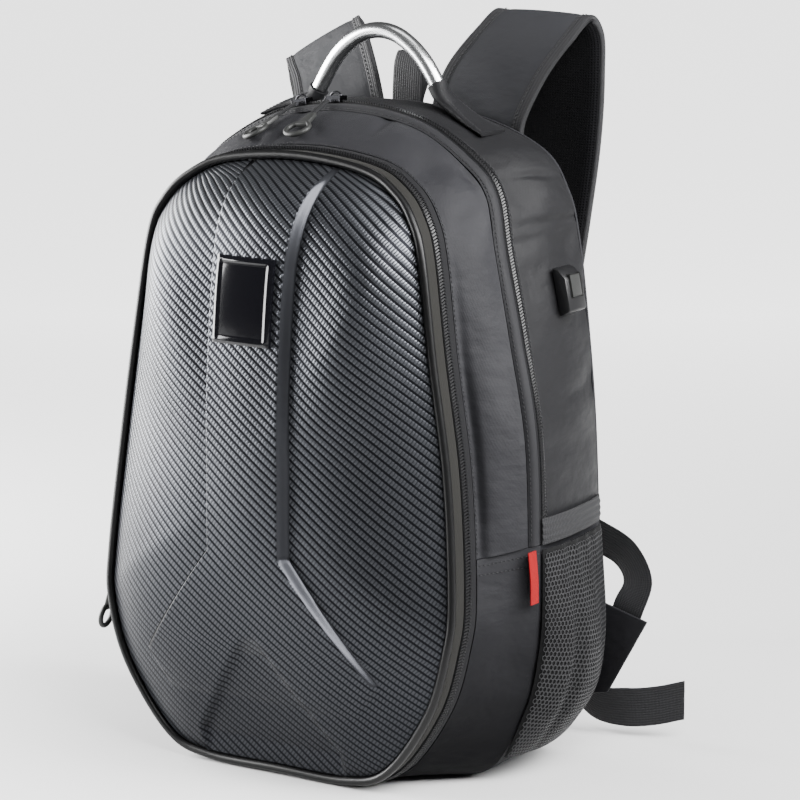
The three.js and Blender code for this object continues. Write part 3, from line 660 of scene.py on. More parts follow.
def make_tooth(name, half_wide, length, lean, high):
    """One zip tooth: a bent bar across the row, its middle pushed forward."""
    points = []
    for x, y in ((-0.5, -1), (0.5, -1), (-0.5, 0), (0.5, 0), (-0.5, 1), (0.5, 1)):
        shift = lean * (1 - abs(y))
        low = 0.35 * high if y else high
        points.append((x * length + shift, y * half_wide, 0))
        points.append((x * length + shift, y * half_wide, low))
    faces = []
    for k in (0, 4):
        a, b, c, d = k, k + 2, k + 4, k + 6
        faces += [(a, b, d, c), (a + 1, c + 1, d + 1, b + 1), (a, c, c + 1, a + 1), (b, b + 1, d + 1, d)]
    faces += [(0, 1, 3, 2), (8, 10, 11, 9)]
    return small_shape(name, points, faces)


def make_stitch(name, length, width):
    """One stitch: a short thread, thick in the middle and sunk at its ends."""
    points = [(-length / 2, 0, -0.2), (length / 2, 0, -0.2)]
    for x in (-length * 0.25, length * 0.25):
        points += [(x, -width / 2, 0), (x, 0, width * 0.6), (x, width / 2, 0), (x, 0, -width * 0.4)]
    faces = []
    for k in range(4):
        m = (k + 1) % 4
        faces += [(2 + k, 2 + m, 6 + m, 6 + k), (0, 2 + m, 2 + k), (1, 6 + k, 6 + m)]
    return small_shape(name, points, faces, True)


def make_net_cell(name, length, width, thread):
    """One six-sided cell of knitted net, as a thin ring lying flat."""
    turn = [math.radians(60 * k) for k in range(6)]
    points = []
    hole = 1 - thread * 2.0 / width
    for size, z in ((1.0, 0), (1.0, thread), (hole, thread), (hole, 0)):
        points += [(math.cos(a) * length * size / 1.5, math.sin(a) * width * size / 1.732, z) for a in turn]
    faces = []
    for ring in range(4):
        for k in range(6):
            m = (k + 1) % 6
            a, b = ring * 6, ((ring + 1) % 4) * 6
            faces.append((a + k, a + m, b + m, b + k))
    return small_shape(name, points, faces)


# Materials


class Finish:
    """A material under construction: a Principled shader and short ways to add nodes to it."""

    def __init__(self, name, colour, roughness, metallic=0.0, sheen=0.0, specular=0.5):
        self.material = bpy.data.materials.new(name)
        self.material.use_nodes = True
        self.tree = self.material.node_tree
        self.shader = self.tree.nodes["Principled BSDF"]
        self.set("Base Color", (*colour, 1))
        self.set("Roughness", roughness)
        self.set("Metallic", metallic)
        self.set("Sheen Weight", sheen)
        self.set("Sheen Roughness", 0.45)
        self.set("Specular IOR Level", specular)

    def set(self, socket, value):
        self.shader.inputs[socket].default_value = value

    def link(self, output, socket):
        self.tree.links.new(output, self.shader.inputs[socket])

    def node(self, kind, source=None, socket=0, **settings):
        """A new node with its settings, fed by a source at one of its sockets."""
        node = self.tree.nodes.new(kind)
        for key, value in settings.items():
            setattr(node, key, value)
        if source is not None:
            self.tree.links.new(source, node.inputs[socket])
        return node

    def math(self, operation, first, second=None):
        node = self.node("ShaderNodeMath", operation=operation)
        for socket, value in zip(node.inputs, (first, second)):
            if isinstance(value, (int, float)):
                socket.default_value = value
            elif value is not None:
                self.tree.links.new(value, socket)
        return node.outputs[0]

    def times(self, first, second):
        return self.math("MULTIPLY", first, second)

    def place(self):
        """The point's place in the object's own axes, in metres."""
        return self.node("ShaderNodeTexCoord").outputs["Object"]

    def height(self):
        """How far a point stands above the floor, in metres."""
        return self.node("ShaderNodeSeparateXYZ", self.place()).outputs[2]

    def lengths(self):
        """The two lengths of the piece's own UV map, in metres."""
        place = self.node("ShaderNodeUVMap", uv_map="UVMap")
        split = self.node("ShaderNodeSeparateXYZ", place.outputs["UV"])
        return split.outputs[0], split.outputs[1]

    def turned(self, u, v, degrees):
        c, s = math.cos(math.radians(degrees)), math.sin(math.radians(degrees))
        first = self.math("ADD", self.times(u, c), self.times(v, s))
        second = self.math("SUBTRACT", self.times(v, c), self.times(u, s))
        return first, second

    def wave(self, length, pitch_mm):
        return self.math("SINE", self.times(length, 2 * math.pi / (pitch_mm * MM)))

    def noise(self, per_metre, detail=3.0, stretch=(1, 1, 1)):
        mapping = self.node("ShaderNodeMapping", self.place())
        mapping.inputs["Scale"].default_value = stretch
        node = self.node("ShaderNodeTexNoise", mapping.outputs[0], "Vector")
        node.inputs["Scale"].default_value = per_metre
        node.inputs["Detail"].default_value = detail
        return node.outputs["Fac"]

    def between(self, share, low, high, start=0, end=1):
        """A number that runs from low to high as the share runs from start to end."""
        node = self.node("ShaderNodeMapRange", share, "Value")
        for socket, value in (("From Min", start), ("From Max", end), ("To Min", low), ("To Max", high)):
            node.inputs[socket].default_value = value
        return node.outputs[0]

    def colours(self, share, first, second):
        node = self.node("ShaderNodeMix", share, "Factor", data_type="RGBA")
        node.inputs["A"].default_value = (*first, 1)
        node.inputs["B"].default_value = (*second, 1)
        return node.outputs["Result"]

    def bump(self, height, depth_mm, strength=1.0, after=None):
        node = self.node("ShaderNodeBump", height, "Height")
        node.inputs["Distance"].default_value = depth_mm * MM
        node.inputs["Strength"].default_value = strength
        if after is not None:
            self.tree.links.new(after, node.inputs["Normal"])
        self.link(node.outputs[0], "Normal")
        return node.outputs[0]


def embossed_shell():
    """Moulded shell with small raised ovals in slanting rows, like a twill."""
    f = Finish("shell_twill", (0.02, 0.021, 0.024), 0.34, specular=0.08)
    row_pitch, dash_pitch, row_shift = 5.2, 2.6, 0.26
    u, v = f.lengths()
    along, across = f.turned(v, u, 38)
    row = f.math("DIVIDE", across, row_pitch * MM)
    off_row = f.math("DIVIDE", f.math("SUBTRACT", f.math("FRACT", row), 0.5), 0.37)
    ridge = f.math("MAXIMUM", f.math("SUBTRACT", 1, f.times(off_row, off_row)), 0)
    shift = f.times(f.math("FLOOR", row), row_shift)
    step = f.math("ADD", f.math("DIVIDE", along, dash_pitch * MM), shift)
    off_dash = f.times(f.math("SUBTRACT", f.math("FRACT", step), 0.5), 2)
    dash = f.math("SUBTRACT", 1, f.times(f.math("POWER", f.math("ABSOLUTE", off_dash), 2.2), 0.85))
    # Low down the raised ovals flatten and lose their bright, shiny colour: a smoother emboss there, and
    # painted shade that darkens the lower shell.
    high = f.between(f.height(), 0.3, 1, 0.05, 0.33)
    raised = f.times(f.times(ridge, dash), high)
    mask = f.times(f.math("MINIMUM", f.times(ridge, 2.5), 1), f.times(dash, high))
    f.link(f.colours(mask, (0.007, 0.0073, 0.0086), (0.086, 0.09, 0.1)), "Base Color")
    f.link(f.between(mask, 0.55, 0.9), "Metallic")
    f.link(f.between(mask, 0.01, 0.08), "Specular IOR Level")
    f.link(f.between(f.noise(40), 0.3, 0.37), "Roughness")
    f.bump(raised, 0.4, 0.75)
    return f.material


def smooth_shell(name, colour, metallic):
    """The smooth satin strips on the slopes beside the raised middle; the black strip on the left is
    painted shade.
    """
    f = Finish(name, colour, 0.3, metallic, specular=0.05)
    f.link(f.between(f.noise(60), 0.26, 0.34), "Roughness")
    return f.material


def satin_rubber(name, colour, roughness=0.42):
    f = Finish(name, colour, roughness, specular=0.2)
    f.link(f.between(f.noise(300), roughness - 0.06, roughness + 0.1), "Roughness")
    f.bump(f.noise(1800, 2), 0.05, 0.4)
    return f.material


def woven(name, colour, light, pitch, depth, roughness=0.75, tilt=0):
    """Plain or twill weave, from two crossing waves on the piece's own lengths."""
    f = Finish(name, colour, roughness, sheen=0.02, specular=0.12)
    u, v = f.turned(*f.lengths(), tilt)
    share = f.between(f.times(f.wave(u, pitch), f.wave(v, pitch)), 0, 1, -1, 1)
    f.link(f.colours(share, colour, light), "Base Color")
    f.bump(share, depth, 0.8)
    return f.material


def bag_nylon(name, colour, light, roughness=0.5):
    """Coated nylon: a very fine twill, soft crinkles and a broad soft sheen, with painted shade that
    darkens it and dims its shine near the floor.
    """
    f = Finish(name, colour, roughness, sheen=0.01, specular=0.09)
    u, v = f.lengths()
    twill = f.times(f.wave(u, 0.9), f.wave(f.math("ADD", u, v), 1.3))
    crease = f.noise(55, 4, (1, 1, 1.8))
    # Painted shade: low down the colour falls to a third of its value and the specular level drops,
    # darkening the cloth toward the floor.
    rise = f.between(f.height(), 0, 1, 0.03, 0.2)
    painted_floor_shade = f.colours(rise, tuple(0.35 * value for value in colour), colour)
    f.tree.links.new(f.colours(f.noise(22, 3), colour, light), painted_floor_shade.node.inputs["B"])
    f.link(painted_floor_shade, "Base Color")
    f.link(f.between(rise, 0.03, 0.09), "Specular IOR Level")
    f.link(f.between(crease, roughness - 0.1, roughness + 0.12), "Roughness")
    wide = f.bump(f.noise(16, 3, (1, 1, 1.6)), 5, 0.7)
    fine = f.bump(crease, 1.6, 0.6, wide)
    f.bump(twill, 0.1, 0.5, fine)
    return f.material


def ribbed_webbing(name, colour, light):
    f = Finish(name, colour, 0.6, sheen=0.02, specular=0.15)
    u, v = f.lengths()
    height = f.math("ADD", f.wave(v, 1.9), f.times(f.wave(u, 1.1), 0.5))
    share = f.between(height, 0, 1, -1.5, 1.5)
    f.link(f.colours(share, colour, light), "Base Color")
    f.bump(share, 0.35, 0.8)
    return f.material


def spacer_mesh(name, colour, light):
    """Thick knitted mesh with small dark holes in slanting rows."""
    f = Finish(name, colour, 0.8, specular=0.04)
    pitch = 3.0
    u, v = f.turned(*f.lengths(), 45)
    share = f.between(f.times(f.wave(u, pitch), f.wave(v, pitch)), 1, 0, 0.1, 0.7)
    f.link(f.colours(share, colour, light), "Base Color")
    f.bump(share, 0.8, 0.9)
    return f.material


def brushed_metal(name, colour, roughness):
    f = Finish(name, colour, roughness, 1)
    f.link(f.between(f.noise(900, 2, (0.05, 1, 1)), roughness - 0.02, roughness + 0.04), "Roughness")
    return f.material


def moulded_plastic(name, colour, roughness):
    f = Finish(name, colour, roughness, specular=0.25)
    f.bump(f.noise(1500, 2), 0.04, 0.5)
    f.link(f.between(f.noise(120), roughness - 0.06, roughness + 0.08), "Roughness")
    return f.material


def plaque_gloss():
    f = Finish("plaque_gloss", (0.003, 0.003, 0.004), 0.08, specular=0.35)
    f.bump(f.noise(60, 2), 0.25, 0.25)
    return f.material


def floor_paint():
    """The far half is a lit backdrop, so that the front of the bag has a darker floor to mirror."""
    near, far = (0.2, 0.2, 0.2), (0.55, 0.55, 0.55)
    f = Finish("floor_paint", far, 0.7, specular=0.2)
    behind = f.node("ShaderNodeVectorMath", f.place(), operation="DOT_PRODUCT")
    behind.inputs[1].default_value = (-0.56, 0.83, 0)
    behind = behind.outputs["Value"]
    apart = f.node("ShaderNodeVectorMath", f.place(), operation="LENGTH").outputs["Value"]
    f.link(f.colours(f.between(behind, 0, 1, -0.7, -0.3), near, far), "Base Color")
    away = f.between(behind, 0, 2.6, 0.3, 1.8)
    ring = f.between(apart, 0, 2.2, 2.6, 4.5)
    f.set("Emission Color", (1, 1, 1, 1))
    f.link(f.math("MAXIMUM", away, ring), "Emission Strength")
    return f.material


# The scene starts here: camera, frame, then the pieces


def aimed(name, data, aim, azimuth, elevation, distance):
    """A camera or light that looks at a point, placed by angles in degrees and a distance in metres."""
    obj = new_object(name, data)
    turn, rise = math.radians(azimuth), math.radians(elevation)
    away = Vector((math.sin(turn) * math.cos(rise), -math.cos(turn) * math.cos(rise), math.sin(rise)))
    obj.location = Vector(aim) + away * distance
    obj.rotation_euler = (-away).to_track_quat("-Z", "Y").to_euler()
    return obj


def make_camera():
    data = bpy.data.cameras.new("camera")
    data.lens = LENS
    data.sensor_width = 36
    data.clip_end = 30
    bpy.context.scene.camera = aimed("camera", data, AIM, AZIMUTH, ELEVATION, DISTANCE)


def make_light(name, azimuth, elevation, distance, size, power):
    data = bpy.data.lights.new(name, "AREA")
    data.shape = "RECTANGLE"
    data.size, data.size_y = size
    data.energy = power
    aimed(name, data, (0, 0, 0.24), azimuth, elevation, distance)


def make_studio():
    world = bpy.data.worlds.new("studio")
    world.use_nodes = True
    shade = world.node_tree.nodes["Background"]
    shade.inputs["Color"].default_value = (1, 1, 1, 1)
    shade.inputs["Strength"].default_value = 0.08
    bpy.context.scene.world = world
    make_light("soft_left", -72, 13, 1.1, (1.3, 0.8), 98)
    make_light("soft_front", 62, 42, 1.6, (0.9, 0.9), 50)
    make_light("soft_right", 100, 33, 1.5, (0.8, 1.0), 85)
    make_light("soft_top", 30, 84, 2.1, (1.2, 0.7), 9)


def make_floor():
    shape = bmesh.new()
    bmesh.ops.create_grid(shape, x_segments=4, y_segments=4, size=6)
    floor = from_bmesh("floor", shape, [floor_paint()])
    for vert in floor.data.vertices:
        vert.co.z = -0.0005


def finish_piece(obj, slot, *nodes):
    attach(obj, "root")
    if nodes:
        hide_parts(*nodes)
    return obj


def shell_rows(count):
    """The right edge's points at even steps, and how far up the edge each lies, from 0 to 1."""
    table = np.linspace(1, 11, 400)
    travel = travel_along(shell_edge(table))
    share = np.linspace(0, 1, count)
    return share, shell_edge(np.interp(share * travel[-1], travel, table))


def shell_columns(edge):
    """Sideways places in each row, closer together on the slopes beside the raised middle."""
    half, height = edge[:, 0], edge[:, 2]
    foot = np.minimum(spine_half(height) + 1, half * 0.93)
    crest = np.minimum(foot - 8, half * 0.8)
    stops = np.stack([0 * half, crest, foot, half], -1)
    x = np.stack([np.interp(SHELL_MARKS, [0, 1, 2, 3], row) for row in stops])
    return np.hstack([-x[:, :0:-1], x])


def bent_height(share, edge, x):
    """Heights in each row, which bends into the bottom edge low down and into the top edge high up."""
    across = x / edge[:, :1]
    low = shell_edge(np.linspace(-1, 1, 81))
    high = shell_edge(np.linspace(13, 11, 81))
    sag = np.interp(across * low[-1, 0], low[:, 0], low[:, 2]) - low[-1, 2]
    rise = np.interp(across * high[-1, 0], high[:, 0], high[:, 2]) - high[-1, 2]
    return edge[:, 2:] + (1 - share[:, None]) ** 3 * sag + share[:, None] ** 3 * rise


def paint_slopes(shell, height):
    """Gives the slopes beside the raised middle their smooth strips: a bevel on the right, and on the left
    a black strip of painted shade.
    """
    slope = (SHELL_MARKS[:-1] > 1.3) & (SHELL_MARKS[:-1] < 1.97)
    slope = np.concatenate([-1 * slope[::-1], slope]) * (height[:-1, None] > SLOPE_FLOOR)
    which = np.zeros(len(shell.data.polygons), np.int32)
    shell.data.polygons.foreach_get("material_index", which)
    # Index 3 on the left slope is the black strip of painted shade, index 2 on the right slope the smooth
    # bevel.
    which[:slope.size] = np.where(slope < 0, 3, 2 * slope).ravel()
    shell.data.polygons.foreach_set("material_index", which)


def make_shell():
    share, edge = shell_rows(236)
    x = shell_columns(edge)
    z = bent_height(share, edge, x)
    y = shell_depth(x, z)
    y[:, 0] = y[:, -1] = edge[:, 1]
    grid = np.stack([x, y, z], -1)
    middle = x.shape[1] // 2
    up = travel_along(grid[:, middle])[:, None] + (z - z[:, [middle]])
    uv = np.stack([up, -travel_across(grid)], -1)
    materials = [SHELL_TWILL, PLASTIC, SHELL_BEVEL, SHELL_GROOVE_SHADE]
    shell = sheet("moulded_shell", grid, materials, SHELL_WALL, uv=uv)
    paint_slopes(shell, edge[:, 2])
    finish_piece(shell, "shell", "hard_shell")


def make_plaque():
    """The bare plate: glossy, softly pillowed, with a rounded rim."""
    width, height, thick, gap = 49, 62, 3.5, 0.7
    s = np.linspace(-1, 1, 41)
    across, up = np.meshgrid(-s, s)
    x = across * width / 2
    z = PLAQUE_CENTRE + up * height / 2
    rim = np.minimum((1 - np.abs(across)) * width / 2, (1 - np.abs(up)) * height / 2)
    edge_drop = 1.4 * (1 - smooth_step(rim, 0, 2.0)) + 0.9 * smooth_step(rim, 3.2, 4.6)
    bed = dome_depth(x, z) - spine_crown(x, z)
    grid = np.stack([x, bed - (thick + gap + SPINE_RAISE) + edge_drop, z], -1)
    inner = np.stack([x, bed - SPINE_RAISE - 0.1, z], -1)
    finish_piece(sheet("plain_plaque", grid, [PLAQUE], inner=inner), "gloss", "badge")


def teeth_along(name, line, next_line, share, pitch, places, lift):
    """A row of zip teeth between two edge lines."""
    def spot_at(place):
        return line(place) * (1 - share) + next_line(place) * share

    def out_at(place, along):
        return unit(np.cross(unit(next_line(place) - line(place)), along))

    table = np.linspace(*places, 1600)
    return set_along(name, spot_at, out_at, table, pitch, 0.03, lift, TOOTH, ZIP_TEETH)


def stitches_on(name, spot_at, table, pitch, ahead):
    """A row of stitches along a line on a cloth face. The line takes a number and a lift off the face."""
    def out_at(at, _along):
        return unit(spot_at(at, 1.0) - spot_at(at))

    return set_along(name, spot_at, out_at, table, pitch, ahead, STITCH_LIFT, STITCH, THREAD)


def stitch_row(name, face, places, share):
    """A row of stitches round the bag at one share of a face's width."""
    def spot_at(place, lift=0.0):
        return face(place, np.full_like(place, share), lift)

    return stitches_on(name, spot_at, np.linspace(*places, 1400), 3.4, 0.02)


def stitch_across(name, face, place):
    """A row of stitches from front to back at one place."""
    def spot_at(share, lift=0.0):
        return face(np.full_like(share, place), share, lift)

    return stitches_on(name, spot_at, np.linspace(0.02, 0.98, 1200), 3.2, 0.01)


def make_front_zip():
    around = np.linspace(0, ROUND, 480, endpoint=False)
    piping = tube("piping", piping_line(around), PIPING_RADIUS, [RUBBER], 14, True)
    finish_piece(piping, "piping", "shell_piping")
    strip = panel(strip_front, strip_back, (), 0.5)
    grid = strip(around[:, None], 0.03 + 0.94 * np.linspace(0, 1, 7)[None, :])
    finish_piece(sheet("zip_rim_strip", grid, [RIM_WEAVE], closed=True), "rim_cloth", "front_zip_rim")
    shares = np.array([0.03, 0.1, 0.2, 0.3, 0.4, 0.5, 0.6, 0.75, 0.9, 0.97])
    grid = panel(strip_back, zip_edge)(around[:, None], shares[None, :])
    crest = 1.1 * np.exp(-((shares - 0.26) / 0.16) ** 2)[None, :] * (grid[..., 2] > 6)
    along = strip_back(around + 0.05) - strip_back(around)
    outward = unit(np.cross(zip_edge(around) - strip_back(around), along))
    grid = grid + crest[..., None] * outward[:, None]
    coil_tape = sheet("front_zip_tape", grid, [ZIP_TAPE], closed=True)
    teeth = teeth_along("front_zip_teeth", strip_back, zip_edge, 0.27, 2.3, (0.02, 23.98), 0.9)
    finish_piece(coil_tape, "zip", "front_zip_coil")
    finish_piece(teeth, "zip")


def make_upper_body():
    places = np.linspace(SEAM_PLACE + 0.003, ROUND - SEAM_PLACE - 0.003, 420)[:, None]
    covers = [
        ("gusset_cloth", gusset_face, 44, NYLON, 0.012, "nylon", "front_gusset"),
        ("main_zip_flap_cloth", flap_face, 9, FLAP_WEAVE, 0.01, "nylon", "main_zip_flap"),
        ("main_zip_tape", coil_face, 9, ZIP_TAPE, 0.01, "zip", "main_zip_coil"),
        ("rear_cloth", rear_face, 56, NYLON_REAR, 0.004, "nylon", "rear_body"),
    ]
    for name, face, columns, material, inset, slot, node in covers:
        shares = np.linspace(inset, 1 - inset, columns)[None, :]
        finish_piece(sheet(name, face(places, shares), [material]), slot, node)
    span = (SEAM_PLACE + 0.03, ROUND - SEAM_PLACE - 0.03)
    teeth = teeth_along("main_zip_teeth", main_line, coil_back, 0.5, 2.2, span, 1.3)
    finish_piece(teeth, "zip")
    span = (SEAM_PLACE + 0.05, ROUND - SEAM_PLACE - 0.05)
    rows = (("flap", flap_face, 0.2), ("gusset", gusset_face, 0.035), ("rear", rear_face, 0.025))
    stitched = [stitch_row(f"{name}_stitches", face, span, share) for name, face, share in rows]
    finish_piece(joined("body_stitches", stitched), "nylon")


def make_wrap():
    seam = SEAM_PLACE - 0.003
    places = np.concatenate([
        np.linspace(-seam, -1, 150), np.linspace(-0.9, 0.9, 16), np.linspace(1, seam, 150)])[:, None]
    shares = np.concatenate([np.linspace(0.0035, 0.3, 26), np.linspace(0.3, 0.9965, 44)[1:]])[None, :]
    finish_piece(sheet("lower_cloth", wrap_face(places, shares), [NYLON]), "nylon", "lower_wrap")
    spots = [side * (SEAM_PLACE - drop) for side in (-1, 1) for drop in (0.06, 0.14)]
    rows = [stitch_across("seam_stitches", wrap_face, place) for place in spots]
    finish_piece(joined("wrap_stitches", rows), "nylon")


def pocket_point(place, share, lift):
    on_body = 0.3 + 0.7 * (0.01 + share * 0.975)
    return wrap_flat(place, on_body) + lift[..., None] * wrap_out(place, on_body)


def pocket_lift(place, share):
    """How far the pocket stands off the body: it hangs full low down and is gathered under its band."""
    up = ramp(place, POCKET_BOTTOM, POCKET_TOP)
    hang = np.sin(np.pi * np.minimum(1, 0.04 + up * 0.9)) ** 0.7
    swell = 22 * hang * np.sin(np.pi * np.clip(share, 0, 1)) ** 0.6
    folds = fold_depth(POCKET_FOLDS, place, share) * hang
    gathers = 0.7 * np.sin(share * 34 + 2 * np.sin(place * 1.7)) * ramp(place, 4.4, POCKET_TOP)
    return 2.2 + np.maximum(swell - folds + gathers * np.sin(np.pi * share), 0)


def pocket_face(place, share):
    place, share = np.broadcast_arrays(place, share)
    return pocket_point(place, share, pocket_lift(place, share))


def mirrored(points, side):
    return points * np.array([side, 1, 1])


def make_pocket(side):
    name = SIDE_NAMES[side]
    places = np.linspace(POCKET_BOTTOM, POCKET_TOP, 110)[:, None]
    grid = mirrored(pocket_face(places, np.linspace(0, 1, 60)[None, :]), side)[:, ::side]
    back = sheet(f"pocket_back_{name}", grid, [NET_BACK], 1.0)
    finish_piece(back, "mesh_cloth", f"side_pocket_{name}")
    finish_piece(make_pocket_net(side, name), "mesh_cloth")
    make_pocket_band(side, name)


def make_pocket_net(side, name):
    """Six-sided cells in offset rows over the pocket's dark face."""
    pitch_up, pitch_wide = 3.6, 3.1
    tall = np.linspace(2.42, 5.28, 400)
    travel = travel_along(pocket_face(tall, 0.5))
    rows = np.interp(np.arange(0, travel[-1], pitch_up), travel, tall)
    table = np.linspace(0.02, 0.98, 300)
    cells = []
    for number, place in enumerate(rows):
        travel = travel_along(pocket_face(place, table))
        count = max(int(travel[-1] / pitch_wide), 2)
        steps = (np.arange(count) + 0.5 * (number % 2)) / count
        at = np.interp(steps * travel[-1], travel, table)
        spot = pocket_face(place, at)
        up = pocket_face(place + 0.02, at) - spot
        wide = pocket_face(place, at + 0.005) - spot
        out = unit(np.cross(wide, up))
        cells.append([mirrored(part, side) for part in (spot + 0.1 * out, unit(up), out)])
    spots, alongs, outs = (np.vstack(parts) for parts in zip(*cells))
    return set_in_rows(f"pocket_net_{name}", spots, alongs, outs, NET_CELL, NET_THREAD)


def make_pocket_band(side, name):
    """The elastic binding along the pocket's top, with raised ribs along it."""
    across = np.linspace(0, 1, 25)[:, None]
    place, share = np.broadcast_arrays(SEAM_PLACE + 0.17 * across, np.linspace(0, 1, 70)[None, :])
    ribs = 0.32 * np.cos(across * 2 * np.pi * 4)
    lift = 2.4 + 5.0 * np.sin(np.pi * share) ** 0.6 + ribs - 1.0 * (2 * across - 1) ** 6
    grid = mirrored(pocket_point(place, share, lift), side)[:, ::side]
    binding = sheet(f"pocket_binding_{name}", grid, [WEBBING], 1.6)
    finish_piece(binding, "webbing", f"pocket_band_{name}")


def back_depth(x, z):
    """The back panel's face, slightly rounded both ways."""
    half, top, front = BACK_EDGE["half"], BACK_EDGE["top"], BACK_EDGE["front"]
    belly = 4 * (1 - (x / half) ** 2) * np.sin(np.pi * np.clip(z / top, 0, 1))
    return front + 2.3 + np.maximum(belly, 0)


def make_back():
    places = np.linspace(0.8, 11.2, 150)
    edge = back_line(places)
    share = np.linspace(1, -1, 60)[None, :]
    x = share * (edge[:, 0] - 0.6)[:, None]
    z = np.broadcast_to(np.maximum(edge[:, 2], 0.5)[:, None], x.shape)
    grid = np.stack([x, back_depth(x, z), z], -1)
    finish_piece(sheet("back_cloth", grid, [NYLON]), "nylon", "back_panel")
    for side in (1, -1):
        make_back_pad(side)


def make_back_pad(side):
    """A padded panel of mesh with rolled sides and three sewn channels."""
    name = SIDE_NAMES[side]
    low, high, centre, half = 40, 400, 68, 46
    z = np.linspace(low, high, 170)[:, None]
    s = np.linspace(-1, 1, 60)[None, :]
    rounding = np.clip((z - low) * (high - z) / (26 * 340), 0, 1) ** 0.5
    x = side * centre - s * half * (0.9 + 0.1 * rounding)
    z_grid = np.broadcast_to(z, x.shape)
    fill = (1 - np.abs(s) ** 5) ** 0.6 * rounding
    channel = sum(np.exp(-((z - at) / 3.5) ** 2) for at in (128, 222, 312))
    lift = 0.6 + 10.5 * fill * (1 - 0.62 * channel)
    back = back_depth(x, z_grid)
    grid = np.stack([x, back + lift, z_grid], -1)
    inner = np.stack([x, back + 0.3, z_grid], -1)
    pad = sheet(f"back_pad_mesh_{name}", grid, [MESH], inner=inner)
    finish_piece(pad, "mesh_cloth", f"back_pad_{name}")


# Rows of a strap: its middle, then half its width as a vector
STRAP_RIGHT = [
    (60, 81.2, 458, 38, 0, -4), (62, 81.5, 472, 38, 0.4, -4), (73, 88, 502, 38, 4, -3),
    (90, 100, 530, 37, 5, -2), (100, 113, 545, 36, 6, -1), (102, 126, 532, 37, 4, 0),
    (100, 134, 500, 37, 2, 0), (95, 140, 450, 37, 0, 0), (85, 143, 385, 36, 0, 0),
    (76, 140, 310, 34, 0, 0), (76, 130, 245, 30, 0, 0), (82, 118, 200, 24, 0, 0),
]
STRAP_LEFT = [
    (-60, 81.2, 456, 38, 0, 4), (-62, 81.5, 468, 38, -0.4, 5), (-72, 88, 492, 38, -3, 9),
    (-86, 99, 508, 37, -4, 16), (-98, 112, 514, 36, -4, 19), (-102, 126, 502, 37, -3, 17),
    (-101, 134, 476, 37, -1, 11), (-96, 140, 430, 37, 0, 6), (-86, 143, 372, 36, 0, 2),
    (-77, 140, 305, 34, 0, 0), (-76, 130, 245, 30, 0, 0), (-82, 118, 200, 24, 0, 0),
]


def strap_edge(name, middle, half, normal, end):
    """The folded tape on one edge of a strap, and the row of stitches beside it."""
    out = half / np.linalg.norm(half, axis=-1, keepdims=True) * end
    edge = middle + half * end
    turn = np.linspace(0, 2 * np.pi, 26, endpoint=False)
    wide = np.cos(turn) * (1.2 + 7.6 * (np.cos(turn) < 0))
    high = squared(np.sin(turn), 0.4) * 3.1
    section = out[:, None] * wide[None, :, None] + normal[:, None] * high[None, :, None]
    tape = ring_body(f"strap_edge_{name}", (edge - normal * 2.2)[:, None] + section, [WEBBING])
    seam = edge - out * 5.5 + normal * 0.95
    return [tape, stitch_path(f"strap_stitch_{name}", seam, normal, 3.4, 2)]


def make_strap(rows, name):
    """A padded strap: nylon face, mesh underside, and a bound edge on both sides."""
    middle, half, normal = ribbon_rows(rows, 190)
    side = np.linspace(-1, 1, 41)[None, :, None]
    crown = 1.5 * (1 - side ** 2) - 1.2 * np.clip(np.abs(side) - 0.72, 0, 1) ** 0.5
    face = middle[:, None] + half[:, None] * side + normal[:, None] * crown
    thick = 3.2 + 6.3 * (1 - np.abs(side) ** 6) ** 0.7
    under = face - normal[:, None] * thick
    pad = sheet(f"strap_pad_{name}", face, [STRAP_NYLON, MESH], inner=under)
    finish_piece(pad, "nylon", f"shoulder_strap_{name}")
    edges = [piece for end in (-1, 1) for piece in strap_edge(name, middle, half, normal, end)]
    finish_piece(joined(f"strap_binding_{name}", edges), "webbing")


def make_hang_loop():
    rows = [
        (79.4, 468), (80.5, 490), (83, 506), (88.5, 513), (94, 506), (93, 492), (85.6, 478), (84, 468)]
    rows = [(0, y, z, 12.5, 0, 0) for y, z in rows]
    loop = band("hang_loop_webbing", rows, 2, [WEBBING], 80)
    finish_piece(loop, "webbing", "hang_loop")


def make_adjuster(side):
    """A ladder-lock buckle: two side bars, three cross bars."""
    name = SIDE_NAMES[side]
    centre = np.array([side * 82, 113.5, 184.4])
    axes = np.eye(3)
    bars = [box_piece("bar", centre + (x, 0, 0), (6, 4, 30), axes, 1.3, [PLASTIC]) for x in (-19, 19)]
    for z, high in ((-12.6, 4.8), (0, 7.2), (12.6, 4.8)):
        bars.append(box_piece("bar", centre + (0, 0, z), (40, 3.8, high), axes, 1.2, [PLASTIC]))
    finish_piece(joined(f"buckle_{name}", bars), "plastic", f"adjuster_{name}")


